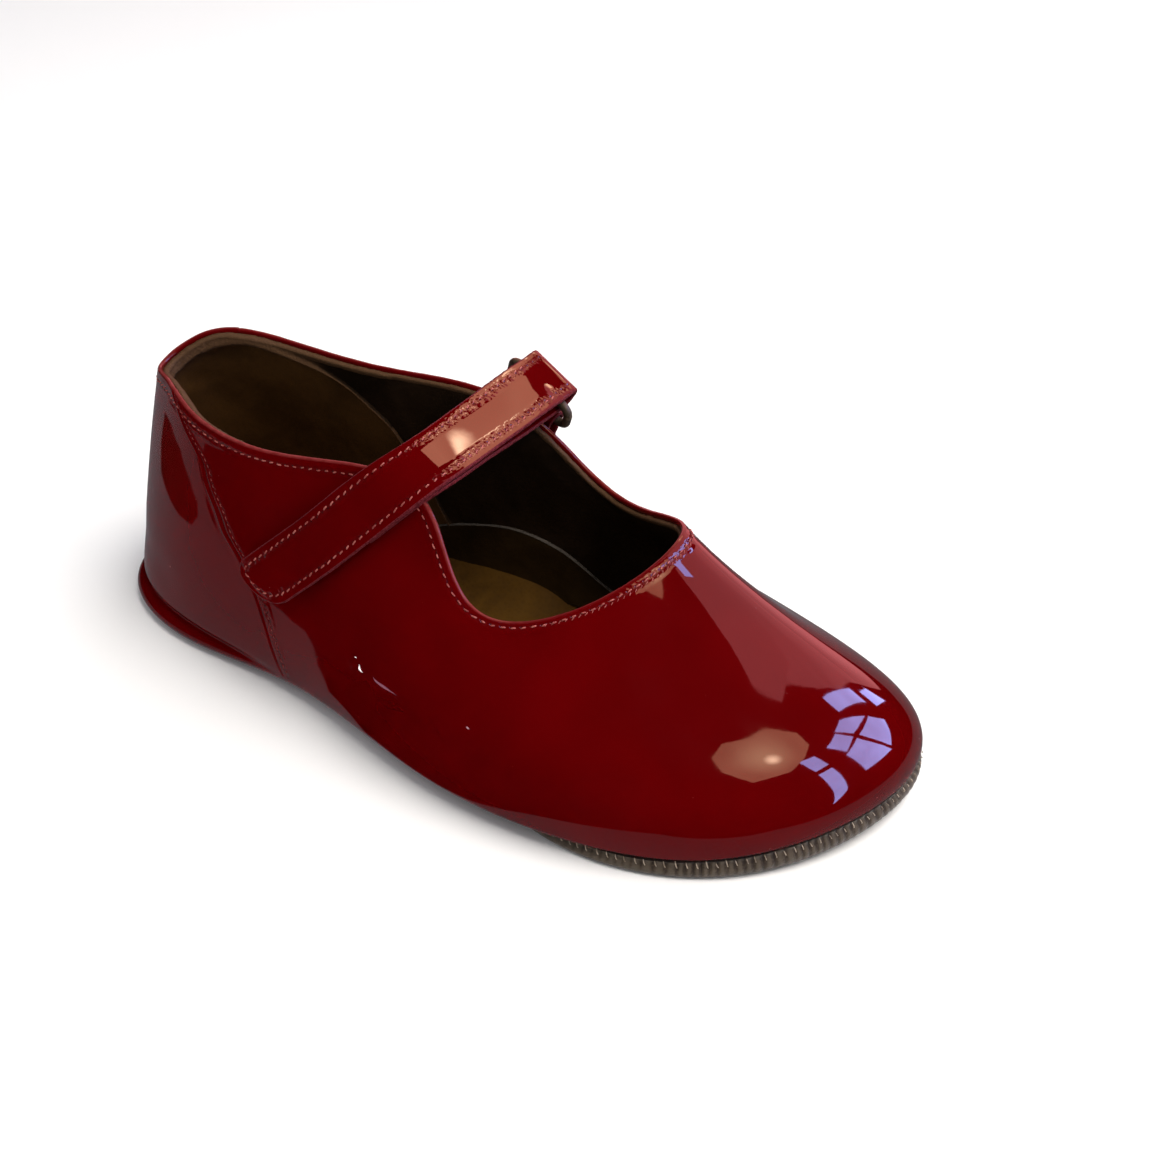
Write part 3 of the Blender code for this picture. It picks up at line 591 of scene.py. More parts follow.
def stitches(name, path, normals, material):
    """A row of stitches along a path on a surface: each rises from one hole and dips into the next."""
    pitch, length, radius, swing = STITCH_ROWS[name]
    knots = chord_knots(path)
    count = int((knots[-1] - length) / pitch)
    shares = np.linspace(0, 1, 7)
    starts = (knots[-1] - (count - 1) * pitch - length) / 2 + np.arange(count) * pitch
    rng = np.random.default_rng(len(name) * 7 + count)
    long = length * rng.uniform(0.78, 1.12, (count, 1))
    at = (starts[:, None] + length / 2 + (shares[None, :] - 0.5) * long).ravel()

    def read(values):
        return np.stack([np.interp(at, knots, values[:, k]) for k in range(3)], axis=-1)

    centres = read(path).reshape(count, -1, 3)
    up = unit(read(normals)).reshape(count, -1, 3)
    course = unit(centres[:, -1] - centres[:, 0])[:, None, :]
    side = unit(np.cross(up, np.broadcast_to(course, up.shape)))
    arch = np.sin(math.pi * shares) ** 0.7
    height = (arch * radius * 1.15 - radius * 0.75)[None, :, None]
    height = height * (1 + 0.25 * rng.uniform(-1, 1, (count, 1, 1)))
    tilt = swing + 0.16 * rng.uniform(-1, 1, (count, 1, 1))
    sway = (shares - 0.5)[None, :, None] * tilt * length + rng.uniform(-1, 1, (count, 1, 1)) * radius * 0.5
    centres = centres + up * height + side * sway
    add_tubes(name, centres, side, up, radius, material, "red_patent_leather")


def drift(points, size, seed, octaves=2):
    """Smooth unevenness from -1 to 1 with features of the given size, at each point."""
    points = np.asarray(points)
    flat = points.reshape(-1, 3) / size + seed
    total = np.zeros(len(flat))
    for octave in range(octaves):
        scale = 2.0 ** octave
        total += np.array([noise.noise(Vector(p * scale)) for p in flat]) / scale
    return total.reshape(points.shape[:-1])


# ---------------------------------------------------------------- finishes

class Value:
    """A shader socket whose number or colour varies; Python's operators add Math nodes to it."""

    def __init__(self, finish, socket):
        self.finish = finish
        self.socket = socket

    def math(self, operation, first, second):
        """A Math node on two values."""
        return self.finish.node("ShaderNodeMath", {"operation": operation}, {0: first, 1: second})

    def __add__(self, other):
        return self.math("ADD", self, other)

    __radd__ = __add__

    def __sub__(self, other):
        return self.math("SUBTRACT", self, other)

    def __rsub__(self, other):
        return self.math("SUBTRACT", other, self)

    def __mul__(self, other):
        return self.math("MULTIPLY", self, other)

    __rmul__ = __mul__


class Finish:
    """A material under construction: its nodes and the Principled shader that ends them."""

    def __init__(self, name, **constants):
        self.material = bpy.data.materials.new(name)
        self.material.use_nodes = True
        self.tree = self.material.node_tree
        self.shader = self.tree.nodes["Principled BSDF"]
        for socket, value in constants.items():
            self.shader.inputs[socket.replace("_", " ")].default_value = value
        self.place = self.node("ShaderNodeTexCoord", {}, {}, "Object")

    def node(self, kind, settings, sockets, output=0):
        """A new node: its settings are set first, then its sockets take values or links."""
        made = self.tree.nodes.new(kind)
        for name, value in settings.items():
            setattr(made, name, value)
        for name, value in sockets.items():
            if isinstance(value, Value):
                self.tree.links.new(value.socket, made.inputs[name])
            else:
                made.inputs[name].default_value = value
        return Value(self, made.outputs[output])

    def noise(self, feature, detail=3.0, stretch=(1.0, 1.0, 1.0), distortion=0.0, seed=0.0):
        """Smooth noise from 0 to 1 with features of the given size in metres."""
        scaled = self.node("ShaderNodeMapping", {}, {
            "Vector": self.place, "Scale": stretch, "Location": (seed, seed, seed)})
        return self.node("ShaderNodeTexNoise", {}, {
            "Vector": scaled, "Scale": 1.0 / feature, "Detail": detail, "Distortion": distortion})

    def cells(self, feature):
        """Distance to the nearest of many scattered points, a pebbled grain."""
        return self.node("ShaderNodeTexVoronoi", {}, {"Vector": self.place, "Scale": 1.0 / feature})

    def mark(self, name):
        """A number that the mesh carries at its points."""
        return self.node("ShaderNodeAttribute", {"attribute_name": name}, {}, "Fac")

    def between(self, value, low, high):
        """0 below low, 1 above high, smooth between."""
        return self.node("ShaderNodeMapRange", {"interpolation_type": "SMOOTHSTEP"}, {
            "Value": value, "From Min": low, "From Max": high})

    def near(self, value, middle, width):
        """1 where the value is at the middle, falling to 0 a width away."""
        gap = self.node("ShaderNodeMath", {"operation": "ABSOLUTE"}, {0: value - middle})
        return 1.0 - self.between(gap, 0.0, width)

    def wave(self, value, period):
        """A cosine from -1 to 1 along the value."""
        return self.node("ShaderNodeMath", {"operation": "COSINE"}, {0: value * (2 * math.pi / period)})

    def mix(self, share, first, second):
        """Colour first where share is 0 and second where it is 1."""
        colours = {6: first, 7: second}
        colours = {k: v if isinstance(v, Value) else (*v, 1.0) for k, v in colours.items()}
        return self.node("ShaderNodeMix", {"data_type": "RGBA"}, {0: share, **colours}, 2)

    def bump(self, height, distance, under=None):
        """A normal raised by the height, which is worth this many metres, over another normal."""
        sockets = {"Height": height, "Distance": distance, "Strength": 1.0}
        if under is not None:
            sockets["Normal"] = under
        return self.node("ShaderNodeBump", {}, sockets)

    def end(self, matt=None, **links):
        """Links values to the shader's sockets, blends in a matt twin where matt is 1, gives the material."""
        for socket, value in links.items():
            self.tree.links.new(value.socket, self.shader.inputs[socket.replace("_", " ")])
        if matt is not None:
            twin = self.tree.nodes.new("ShaderNodeBsdfPrincipled")
            twin.inputs["Roughness"].default_value = 0.85
            twin.inputs["Specular IOR Level"].default_value = 0.08
            self.tree.links.new(links["Base_Color"].socket, twin.inputs["Base Color"])
            self.tree.links.new(links["Normal"].socket, twin.inputs["Normal"])
            blend = self.tree.nodes.new("ShaderNodeMixShader")
            for socket, source in ((0, matt.socket), (1, self.shader.outputs[0]), (2, twin.outputs[0])):
                self.tree.links.new(source, blend.inputs[socket])
            self.tree.links.new(blend.outputs[0], self.tree.nodes["Material Output"].inputs["Surface"])
        return self.material


def shade(colour, share):
    """The colour made darker or lighter."""
    return tuple(part * share for part in colour)


def patent_leather(name, rows, edge=False, pucker=0.00005):
    """Glossy red leather, puckered along its stitch rows, with a raw cut edge if it has one, and a painted
    highlight, with some wear, on the top edge's fold.
    """
    finish = Finish(name, Specular_IOR_Level=0.5)
    cloud = finish.noise(0.018, 2.0)
    colour = finish.mix(finish.between(cloud, 0.35, 0.7), shade(RED, 0.86), RED)
    fleck = finish.noise(0.0011, 1.0, seed=3.1)
    dust = finish.between(fleck, 0.79, 0.84)
    colour = finish.mix(dust * 0.30, colour, (0.20, 0.05, 0.04))
    smear = finish.noise(0.011, 4.0, stretch=(1.0, 1.6, 0.7), seed=7.7)
    rough = 0.035 + 0.05 * finish.between(smear, 0.5, 0.8) + 0.25 * dust
    peel = finish.noise(0.0022, 1.0, seed=1.3)
    normal = finish.bump(peel, 0.000004)
    wander = finish.noise(0.010, 1.0, seed=5.0)
    normal = finish.bump(wander, 0.00004, normal)
    for row in rows:
        gap, run = finish.mark(row + "_gap"), finish.mark(row + "_run")
        trough = finish.near(gap, 0.0, 0.0009)
        holes = finish.near(gap, 0.0, 0.00032) * finish.between(finish.wave(run, STITCH_PITCH), 0.45, 0.95)
        beside = finish.near(gap, 0.0, 0.0016)
        normal = finish.bump(beside * finish.noise(0.0011, 1.0, seed=8.0), pucker * 3.0, normal)
        normal = finish.bump(trough * (0.75 - 0.25 * finish.wave(run, STITCH_PITCH)), -pucker, normal)
        normal = finish.bump(holes, -0.00010, normal)
        rough = rough + trough * 0.14
        # Painted shade in the needle holes: the leather darkens where each stitch goes in.
        colour = finish.mix(holes * 0.45, colour, (0.015, 0.0003, 0.0008))
    if edge:
        raw = finish.between(finish.mark("raw"), 0.35, 0.65)
        fibre = finish.noise(0.00035, 2.0, seed=2.2)
        raw_colour = finish.mix(finish.between(fibre, 0.3, 0.7), (0.070, 0.002, 0.004), (0.16, 0.018, 0.024))
        colour = finish.mix(raw, colour, raw_colour)
        rough = rough + raw * 0.6
        normal = finish.bump(fibre * raw, 0.00012, normal)
    # Pale pink along the top edge's fold where it faces up and out: a painted highlight with some wear. The
    # fold is also made matt there.
    wear_and_highlight = finish.mark("fold")
    colour = finish.mix(wear_and_highlight * finish.noise(0.0016, 2.0, seed=6.2) * 0.5, colour, (0.42, 0.09, 0.085))
    matt = wear_and_highlight * 0.8 + raw * 0.9 if edge else wear_and_highlight * 0.8
    return finish.end(matt, Base_Color=colour, Roughness=rough, Normal=normal)


def lining_leather(name, dark, light, raw_edge, grain):
    """Unpolished lining leather, mottled, with pale raw edges where the mesh says."""
    finish = Finish(name, Specular_IOR_Level=0.18)
    cloud = finish.noise(0.012, 4.0, distortion=0.6)
    fine = finish.noise(0.0016, 3.0, seed=4.0)
    tone = finish.between(cloud * 0.85 + fine * 0.15, 0.33, 0.69)
    colour = finish.mix(tone, dark, light)
    pores = finish.cells(grain)
    colour = finish.mix(finish.between(pores, 0.55, 0.15) * 0.12, colour, shade(dark, 0.35))
    raw = finish.between(finish.mark("raw"), 0.3, 0.7)
    fibre = finish.noise(0.0004, 3.0, seed=9.0)
    colour = finish.mix(raw, colour, finish.mix(fibre, shade(raw_edge, 0.6), raw_edge))
    normal = finish.bump(pores, 0.00006)
    normal = finish.bump(finish.noise(0.004, 2.0, seed=6.0), 0.00020, normal)
    normal = finish.bump(fibre * raw, 0.00015, normal)
    return finish.end(Base_Color=colour, Roughness=0.62 + 0.25 * fine, Normal=normal)


def sole_suede():
    """Napped taupe suede, with painted shade deep in its gathers and painted highlights on their ridges, and
    darker in patches towards the bottom.
    """
    finish = Finish("taupe_suede", Specular_IOR_Level=0.2, Sheen_Weight=0.25, Sheen_Roughness=0.5)
    nap = finish.noise(0.0005, 3.0)
    cloud = finish.noise(0.009, 3.0, seed=2.0)
    tone = finish.between(nap * 0.6 + cloud * 0.4, 0.3, 0.7)
    colour = finish.mix(tone, (0.026, 0.018, 0.011), (0.066, 0.047, 0.031))
    fold = finish.mark("fold")
    # Painted shade in the valleys of the gathers.
    colour = finish.mix(finish.between(fold, 0.62, 0.1), colour, (0.022, 0.015, 0.010))
    # Painted highlight on the ridges of the gathers.
    colour = finish.mix(finish.between(fold, 0.7, 1.0) * 0.55, colour, (0.12, 0.095, 0.070))
    # Darker in patches towards the bottom of the side.
    darker_low_patches = finish.between(finish.mark("tread"), 0.4, 0.9) * finish.between(cloud, 0.35, 0.7)
    colour = finish.mix(darker_low_patches * 0.5, colour, (0.035, 0.027, 0.020))
    normal = finish.bump(nap, 0.00016)
    return finish.end(Base_Color=colour, Roughness=0.85 + 0.1 * nap, Normal=normal)


def thread(name, dark, light):
    """Twisted sewing thread."""
    finish = Finish(name, Specular_IOR_Level=0.4, Roughness=0.55)
    ply = finish.noise(0.0005, 2.0)
    tone = finish.noise(0.004, 1.0, seed=1.0)
    colour = finish.mix(finish.between(ply * 0.5 + tone * 0.5, 0.35, 0.65), dark, light)
    return finish.end(Base_Color=colour, Normal=finish.bump(ply, 0.00008))


def aged_brass():
    """Brass wire gone brown, rubbed brighter in places."""
    finish = Finish("aged_brass", Specular_IOR_Level=0.5)
    cloud = finish.noise(0.0016, 4.0)
    rubbed = finish.between(cloud, 0.52, 0.72)
    colour = finish.mix(rubbed, (0.10, 0.075, 0.045), (0.34, 0.28, 0.19))
    rough = 0.52 - 0.22 * rubbed
    metal = 0.6 + 0.35 * rubbed
    return finish.end(Base_Color=colour, Roughness=rough, Metallic=metal, Normal=finish.bump(cloud, 0.00005))


# ---------------------------------------------------------------- the upper

def panel_seam_turn(rise):
    """Turn of the heel panel's seam on the outer side at each rise."""
    rows = np.array(PANEL_SEAM)[::-1]
    at = np.clip(np.ravel(rise), 0, 1)
    return natural_spline(rows[:, 0], rows[:, 1:], at)[:, 0].reshape(np.shape(rise))


def from_panel_seam(turn, rise, round_shoe):
    """Metres from the heel panel's seam, towards the toe, at places on either side of the shoe."""
    folded = turn % TURNS
    to_front = np.where(folded < TURNS / 2, folded, TURNS - folded) - panel_seam_turn(np.clip(rise, 0, 1))
    return to_front * np.linalg.norm(round_shoe, axis=-1) * SEAM_SLANT


def above_edge(turn):
    """The ways straight up out of the top edge."""
    _, normal, edge_way, _ = wall_frame(turn, np.ones(len(turn)))
    return unit(np.cross(normal, edge_way))


def sole_crease(lip):
    """How deep the crease above the sole's lip is, by how much lip there is."""
    return HEEL_CREASE * smoothstep(0.0, 0.7, lip)


def bent_turn(turn, rise):
    """Turns of grid lines that run along the heel panel's seams where they pass them."""
    shift = panel_seam_turn(rise) - SEAM_MIDDLE
    outer = smoothstep(SEAM_REACH, 0.0, np.abs(turn - SEAM_MIDDLE))
    inner = smoothstep(SEAM_REACH, 0.0, np.abs(turn - (TURNS - SEAM_MIDDLE)))
    return turn + shift * (outer - inner)


def spaced_turns(spacing, fine_spacing, fine_at, fine_reach):
    """Turns round the shoe at even spacing, closer near the given turns. Spacings in metres."""
    turn = np.linspace(0, TURNS, 4001)
    points = wall_at(turn, np.full(len(turn), 0.45))
    run = chord_knots(points)
    density = np.full(len(turn), 1.0 / spacing)
    for middle in fine_at:
        away = run - np.interp(middle, turn, run)
        density += bell(away, fine_reach) / fine_spacing
    count = np.concatenate([[0.0], np.cumsum((density[1:] + density[:-1]) / 2 * np.diff(run))])
    total = int(round(count[-1]))
    return np.interp(np.arange(total) * count[-1] / total, count, turn)


def crease_heights(points):
    """Metres that the listed creases lift each point."""
    lift = np.zeros(points.shape[:-1])
    for _, turn_a, rise_a, turn_b, rise_b, height, width in CREASES:
        steps = np.linspace(0, 1, 9)
        line = wall_at(turn_a + (turn_b - turn_a) * steps, rise_a + (rise_b - rise_a) * steps)
        nearest = np.full(lift.shape, 1.0)
        for start, end in zip(line[:-1], line[1:]):
            way = end - start
            share = np.clip(((points - start) @ way) / (way @ way), 0, 1)
            gap = np.linalg.norm(points - start - share[..., None] * way, axis=-1)
            nearest = np.minimum(nearest, gap)
        lift += height * MM * bell(nearest, width * MM)
    return lift


def skin_relief(turn, rise, depth, points, round_shoe):
    """Metres that the patent leather stands out from the last's smooth form."""
    folded = turn % TURNS
    across = from_panel_seam(turn, rise, round_shoe)
    raised = smoothstep(0.42, 0.62, rise) * smoothstep(0.0005, 0.003, depth)
    welt = 0.11 * MM * raised * (bell(across - 0.75 * MM, 0.42 * MM) + bell(across + 0.75 * MM, 0.42 * MM))
    groove = -0.16 * MM * bell(across, 0.20 * MM) * smoothstep(0.0, 0.02, rise)
    step = 0.10 * MM * (1 - raised) * smoothstep(0.6 * MM, -0.6 * MM, across) * bell(across, 3.0 * MM)
    lip = section_values(folded.ravel())["lip"].reshape(folded.shape)
    up_seam = rise * depth_table.length(folded)
    crease = sole_crease(lip) * bell(up_seam, 1.1 * MM)
    row_depth = edge_row(folded)
    hem = 0.06 * MM * smoothstep(row_depth + 0.5 * MM, row_depth - 0.3 * MM, depth)
    row = -0.07 * MM * bell(depth - row_depth, 0.40 * MM)
    toe = smoothstep(0.02, 0.06, points[..., 0])
    uneven = drift(points, 0.018, 11.0) * 0.04 * MM * (1 - 0.6 * toe)
    return welt + groove + step + crease + hem + row + uneven + crease_heights(points)


def folded_edge(turn, at):
    """The turned edge below the seam line, read from the seam (0) to its hidden end (4)."""
    values = section_values(turn)
    seam, out = seam_line(turn)
    lip = values["lip"][:, None]
    roll = values["roll"][:, None]
    tuck = 1.0 - lip - roll
    controls = [wall_at(turn, np.full(len(turn), 0.03)), seam]
    for tuck_out, tuck_down, roll_out, roll_down, lip_out, lip_down in EDGE_FOLDS:
        reach = tuck * tuck_out + roll * roll_out + lip * lip_out
        fall = tuck * tuck_down + roll * roll_down + lip * lip_down
        controls.append(seam + out * reach - np.array([0.0, 0.0, 1.0]) * fall)
    return catmull_rom(controls, np.asarray(at) + 1.0)


def edge_row_path():
    """Points, normals and running lengths of the stitch row along the top edge."""
    turn = np.linspace(0, TURNS, 3201)
    points, normals, _, _ = wall_frame(turn, depth_table.rise(turn, edge_row(turn)))
    return points, normals, chord_knots(points)


def make_upper_skin(material):
    """The patent leather: outer face, edge folded over the top, turned edge under the seam."""
    fine_at = (SEAM_MIDDLE, TURNS - SEAM_MIDDLE)
    base_turn = spaced_turns(SKIN_SPACING, SEAM_SPACING, fine_at, 0.0024)[:, None]
    top_depths = np.concatenate([np.linspace(SKIN / 2, 0.0034, 18), [0.0039, 0.0045, 0.0052, 0.0060]])
    depths = np.tile(top_depths, (len(base_turn), 1))
    length = depth_table.length(base_turn[:, 0])[:, None]
    middle = top_depths[-1] + (length - LOW_BAND - top_depths[-1]) * np.linspace(0, 1, 64)[None, 1:]
    low = length - LOW_BAND + LOW_BAND * np.linspace(0, 1, 15)[None, 1:]
    depths = np.concatenate([depths, middle, low], axis=1)
    turn = np.broadcast_to(base_turn, depths.shape)
    for _ in range(3):
        rise = depth_table.rise(turn, depths / length * depth_table.length(turn))
        turn = bent_turn(base_turn, rise)
    points, normals, round_shoe, _ = wall_frame(turn, rise)
    depth = depth_table.depth(turn, rise)
    relief = skin_relief(turn, rise, depth, points, round_shoe)
    outer = points + normals * relief[..., None]

    top_normal = normals[:, 0]
    edge_turn = turn[:, 0]
    _, _, edge_way, _ = wall_frame(edge_turn, np.ones(len(edge_turn)))
    top_up = unit(np.cross(top_normal, edge_way))
    radius = SKIN / 2
    fold_angles = np.arange(22.5, 180, 22.5)
    centre = outer[:, 0] - top_normal * radius
    lumps = 1 + 0.10 * drift(centre, 0.004, 3.0)[:, None]
    fold = [centre + (top_normal * math.cos(a) + top_up * math.sin(a)) * radius * lumps
            for a in np.radians(fold_angles)]
    inner_rows = np.linspace(0, depths.shape[1] - 1, 14).astype(int)
    inner = points[:, inner_rows] - normals[:, inner_rows] * SKIN
    low_turn = turn[:, -1]
    edge = folded_edge(low_turn, np.linspace(0, 4, 17)[1:])
    _, out = seam_line(low_turn)
    crease = sole_crease(section_values(low_turn)["lip"])
    edge = edge + out[None] * (crease[None] * bell(np.arange(1, 17)[:, None] * 0.35, 1.1))[..., None]
    hidden = edge[-1] + np.array([0.0, 0.0, 1.0]) * SKIN
    grid = np.concatenate([
        outer, edge.transpose(1, 0, 2), hidden[:, None], inner[:, ::-1],
        np.stack(fold[::-1], axis=1)], axis=1)

    row_run = edge_row_path()[2]
    run = np.interp(turn % TURNS, np.linspace(0, TURNS, len(row_run)), row_run)
    marks = {}
    for name, elsewhere, values in (
            ("edge_gap", FAR, depth - edge_row(turn)),
            ("edge_run", 0.0, run),
            ("panel_gap", FAR, from_panel_seam(turn, rise, round_shoe) - PANEL_ROW_OFF),
            ("panel_run", 0.0, depth * 1.15)):
        marks[name] = np.full(grid.shape[:2], elsewhere)
        marks[name][:, :outer.shape[1]] = values
    # Strength of the painted highlight, with some wear, on the fold round the top edge: strongest where the
    # fold faces up and out, fainter at the throat.
    at_throat = smoothstep(6.1, 6.9, edge_turn) * smoothstep(10.5, 9.5, edge_turn)
    wear_and_highlight = bell(fold_angles[::-1] - 60.0, 45.0) * (1 - 0.75 * at_throat)[:, None]
    marks["fold"] = np.zeros(grid.shape[:2])
    marks["fold"][:, -len(fold):] = wear_and_highlight
    add_grid("upper_skin", grid, material, "red_patent_leather", wrap_rows=True, stands_for=("upper",),
             marks=marks)


def make_heel_lining(material):
    """The heel's own lining, which lies a little deeper than the quarter lining over it."""
    turn = np.linspace(-HEEL_LINING_SPAN, HEEL_LINING_SPAN, 140)
    shares = np.linspace(0, 1, 46)
    below = depth_table.length(turn)[:, None] - HEEL_LINING_START
    depths = HEEL_LINING_START + below * shares[None, :]
    rise = depth_table.rise(turn[:, None], depths)
    points, normals, _, _ = wall_frame(np.broadcast_to(turn[:, None], rise.shape), rise)
    hollow = drift(points, 0.010, 21.0) * 0.25 * MM
    hollow -= 0.35 * MM * bell(turn, 0.10)[:, None] * smoothstep(0.5, 1.0, rise)
    face = points - normals * (LINING_FACE - 0.00015 + hollow)[..., None]
    back = points - normals * (SKIN + 0.00008)
    grid = np.concatenate([face, back[:, ::-1]], axis=1)
    add_grid("heel_lining", grid, material, "olive_lining_leather", marks={"raw": np.zeros(grid.shape[:2])})


def lining_boundary():
    """Splines of the quarter lining's lower boundary by the place on the top edge above it."""
    rows = np.array(LINING_BOUNDARY)
    mirrored = rows[:-1][::-1].copy()
    mirrored[:, :2] = 2 * TURNS - mirrored[:, :2]
    return np.concatenate([rows, mirrored])


def on_lap(turn, start, full):
    """1 where the quarter lining lies over the heel lining, 0 beyond, rising between these turns."""
    return smoothstep(start, full, turn - LAP_START) * smoothstep(start, full, LAP_END - turn)


def make_quarter_lining(material):
    """Lining of vamp and quarters, whose back edge overlaps the heel lining as a raised raw lip."""
    rows = lining_boundary()
    back = np.concatenate([
        np.linspace(LAP_START, 13.9, 90)[:-1], np.linspace(13.9, 18.1, 110)[:-1],
        np.linspace(18.1, LAP_END, 90)])
    front = np.linspace(LAP_END, LAP_START + TURNS, 200)[1:-1]
    edge_turn = np.concatenate([back, front])
    bound = natural_spline(rows[:, 0], rows[:, 1:], back)
    low_turn = np.concatenate([bound[:, 0], front])
    torn = drift(wall_at(back, np.ones(len(back))), 0.0032, 91.0) * 0.7 * MM * bell(back - TURNS, 1.1)
    low_depth = np.concatenate([np.maximum(bound[:, 1] + torn, 0.0016), depth_table.length(front)])
    ends = np.minimum(low_depth, depth_table.length(low_turn))
    shares = np.concatenate([
        np.linspace(0, 0.06, 6)[:-1], np.linspace(0.06, 0.90, 40), np.linspace(0.90, 1.0, 14)[1:]])
    turn = edge_turn[:, None] + (low_turn - edge_turn)[:, None] * shares
    depth = LINING_START + (ends[:, None] - LINING_START) * shares
    rise = depth_table.rise(turn, depth)
    points, normals, _, _ = wall_frame(turn, rise)

    to_boundary = np.linalg.norm(points - points[:, -1:], axis=-1)
    lapped = on_lap(edge_turn, 0.0, 0.12)[:, None]
    curl = 0.75 * MM * lapped * bell(to_boundary - 0.0003, 1.1 * MM)
    wrinkle = 0.30 * MM * drift(points, 0.0035, 31.0) * bell(np.abs(turn - TURNS), 0.35) * lapped
    from_ends = np.minimum(np.abs(edge_turn - LAP_START), np.abs(LAP_END - edge_turn))
    front_wall = smoothstep(0.0, 1.0, from_ends)
    uneven = drift(points, 0.012, 41.0) * 0.3 * MM * front_wall[:, None] * (1 - lapped)
    uneven = uneven * smoothstep(0.002, 0.008, depth)
    inward = LINING_FACE + BAND_THICKNESS * 0.4 * lapped + curl + wrinkle + uneven
    face = points - normals * inward[..., None]
    behind = SKIN + 0.00006 + (LINING_FACE - SKIN) * lapped * smoothstep(0.3, 0.9, shares)[None, :]
    back_face = points - normals * behind[..., None]

    ragged = (0.40 + 0.22 * np.clip(drift(points[:, 0], 0.0016, 51.0, 3) + 0.25, 0, 1)) * MM
    top_up = above_edge(edge_turn)
    outer_top = back_face[:, 0] + top_up * (ragged * 0.9)[:, None]
    inner_top = face[:, 0] + top_up * (ragged * 0.6)[:, None]
    middle_top = (outer_top + inner_top) / 2 + top_up * (ragged * 0.25)[:, None]
    cut = (face[:, -1] + back_face[:, -1]) / 2
    rim = np.stack([outer_top, middle_top, inner_top], axis=1)
    grid = np.concatenate([face, cut[:, None], back_face[:, ::-1], rim], axis=1)
    raw = np.zeros(grid.shape[:2])
    count = face.shape[1]
    at_top = smoothstep(0.7 * MM, 0.2 * MM, (depth - LINING_START) * (1 + 0.4 * drift(points, 0.003, 61.0)))
    at_lap = lapped * bell(to_boundary, 1.2 * MM)
    band = 0.9 * on_lap(edge_turn, 0.3, 1.5)[:, None] * bell(np.maximum(depth - 0.0022, 0), 0.0012)
    raw[:, :count] = np.clip(np.maximum(at_top, at_lap) + band, 0, 1)
    raw[:, count] = lapped[:, 0]
    raw[:, -3:] = 1.0
    add_grid("quarter_lining", grid, material, "olive_lining_leather", wrap_rows=True, marks={"raw": raw})


def make_arch_wing(material):
    """The soft piece along the inner waist that stands up beside the insole."""
    rows = np.array(ARCH_WING)
    turn = np.linspace(rows[0, 0], rows[-1, 0], 130)
    top = natural_spline(rows[:, 0], rows[:, 1:], turn)[:, 0]
    shares = np.concatenate([np.linspace(0, 0.9, 22), np.linspace(0.9, 1.0, 9)[1:]])
    rise = WING_START + (top[:, None] - WING_START) * shares[None, :]
    points, normals, _, _ = wall_frame(np.broadcast_to(turn[:, None], rise.shape), rise)
    to_edge = np.linalg.norm(points - points[:, -1:], axis=-1)
    uneven = drift(points, 0.008, 71.0) * 0.2 * MM
    face = points - normals * (LINING_FACE + WING_GAP + WING_THICKNESS + uneven)[..., None]
    back = points - normals * (LINING_FACE + WING_GAP)
    grid = np.concatenate([face, back[:, ::-1]], axis=1)
    raw = np.zeros(grid.shape[:2])
    raw[:, :face.shape[1]] = 0.7 * bell(to_edge, 0.28 * MM)
    raw[:, face.shape[1]:face.shape[1] + 2] = 0.6
    add_grid("arch_wing", grid, material, "olive_lining_leather", marks={"raw": raw}, sharp=50)


# ---------------------------------------------------------------- sole and insole

def make_sole(material):
    """Suede sole, gathered in small pleats up its rim round the forefoot."""
    turn = spaced_turns(0.00032, 1.0, (), 1.0)
    seam, out, inset, side, rim_share = sole_edge(turn)
    rim = RIM_WIDTH * rim_share
    run = chord_knots(seam)
    rng = np.random.default_rng(5)
    wander = np.interp(run, np.linspace(0, run[-1], 60), rng.uniform(-0.6, 0.6, 60))
    phase = run / PLEAT_PITCH + wander
    pleat = np.abs(np.sin(math.pi * phase)) ** 0.8
    strength = np.interp(run, np.linspace(0, run[-1], 140), rng.uniform(0.35, 1.0, 140)) * rim_share ** 1.5
    toe_more = 0.45 + 0.55 * smoothstep(0.035, 0.070, seam[:, 0])
    strength = strength * toe_more

    profile = []
    for share in np.linspace(0, 1, 15):
        bulge = SIDE_BULGE * math.sin(math.pi * min(share * 1.15, 1.0)) ** 0.7
        reach = -0.0006 + bulge + 0.0002 * share
        profile.append((reach, share, 0.0, share))
    profile += [
        (-0.0003, 1.03, 0.25, 1.0), (-0.0002, 1.02, 0.65, 0.8), (-0.0003, 0.8, 1.0, 0.4),
        (-0.0010, 0.3, 1.0, 0.0)]
    rows, folds, treads = [], [], []
    for reach, height, rim_in, fold_share in profile:
        depth = fold_share ** 0.7 * strength * (1 - pleat)
        points = seam + out * (reach - inset - rim * rim_in - PLEAT_DEPTH * depth)[:, None]
        ridge = 0.00010 * fold_share * strength * drift(seam, 0.0011, 5.0)
        points = points + out * ridge[:, None]
        points[:, 2] = ground(points[:, 0]) + height * side
        if height > 0.9:
            points[:, 2] += 0.0002 * strength * pleat
        rows.append(points)
        folds.append(1 - np.clip(depth * 1.5, 0, 1) if rim_in == 0 else np.full(len(turn), 0.3))
        treads.append(np.full(len(turn), 1.0 - min(height * 2.5, 1.0)))
    count = len(turn)
    half = count // 2
    levels = len(rows)
    points = np.stack(rows, axis=1).reshape(-1, 3)
    faces = grid_faces(count, levels, True, False).tolist()
    fold = np.stack(folds, axis=1).ravel()
    tread = np.stack(treads, axis=1).ravel()
    for level in (0, levels - 1):
        for i in range(half):
            corners = [k * levels + level for k in (i, i + 1, count - i - 1, (count - i) % count)]
            faces.append(tuple(dict.fromkeys(corners)))
    add_piece("sole_suede", points, faces, material, "taupe_suede", stands_for=("sole",),
              marks={"fold": fold, "tread": tread}, sharp=55)


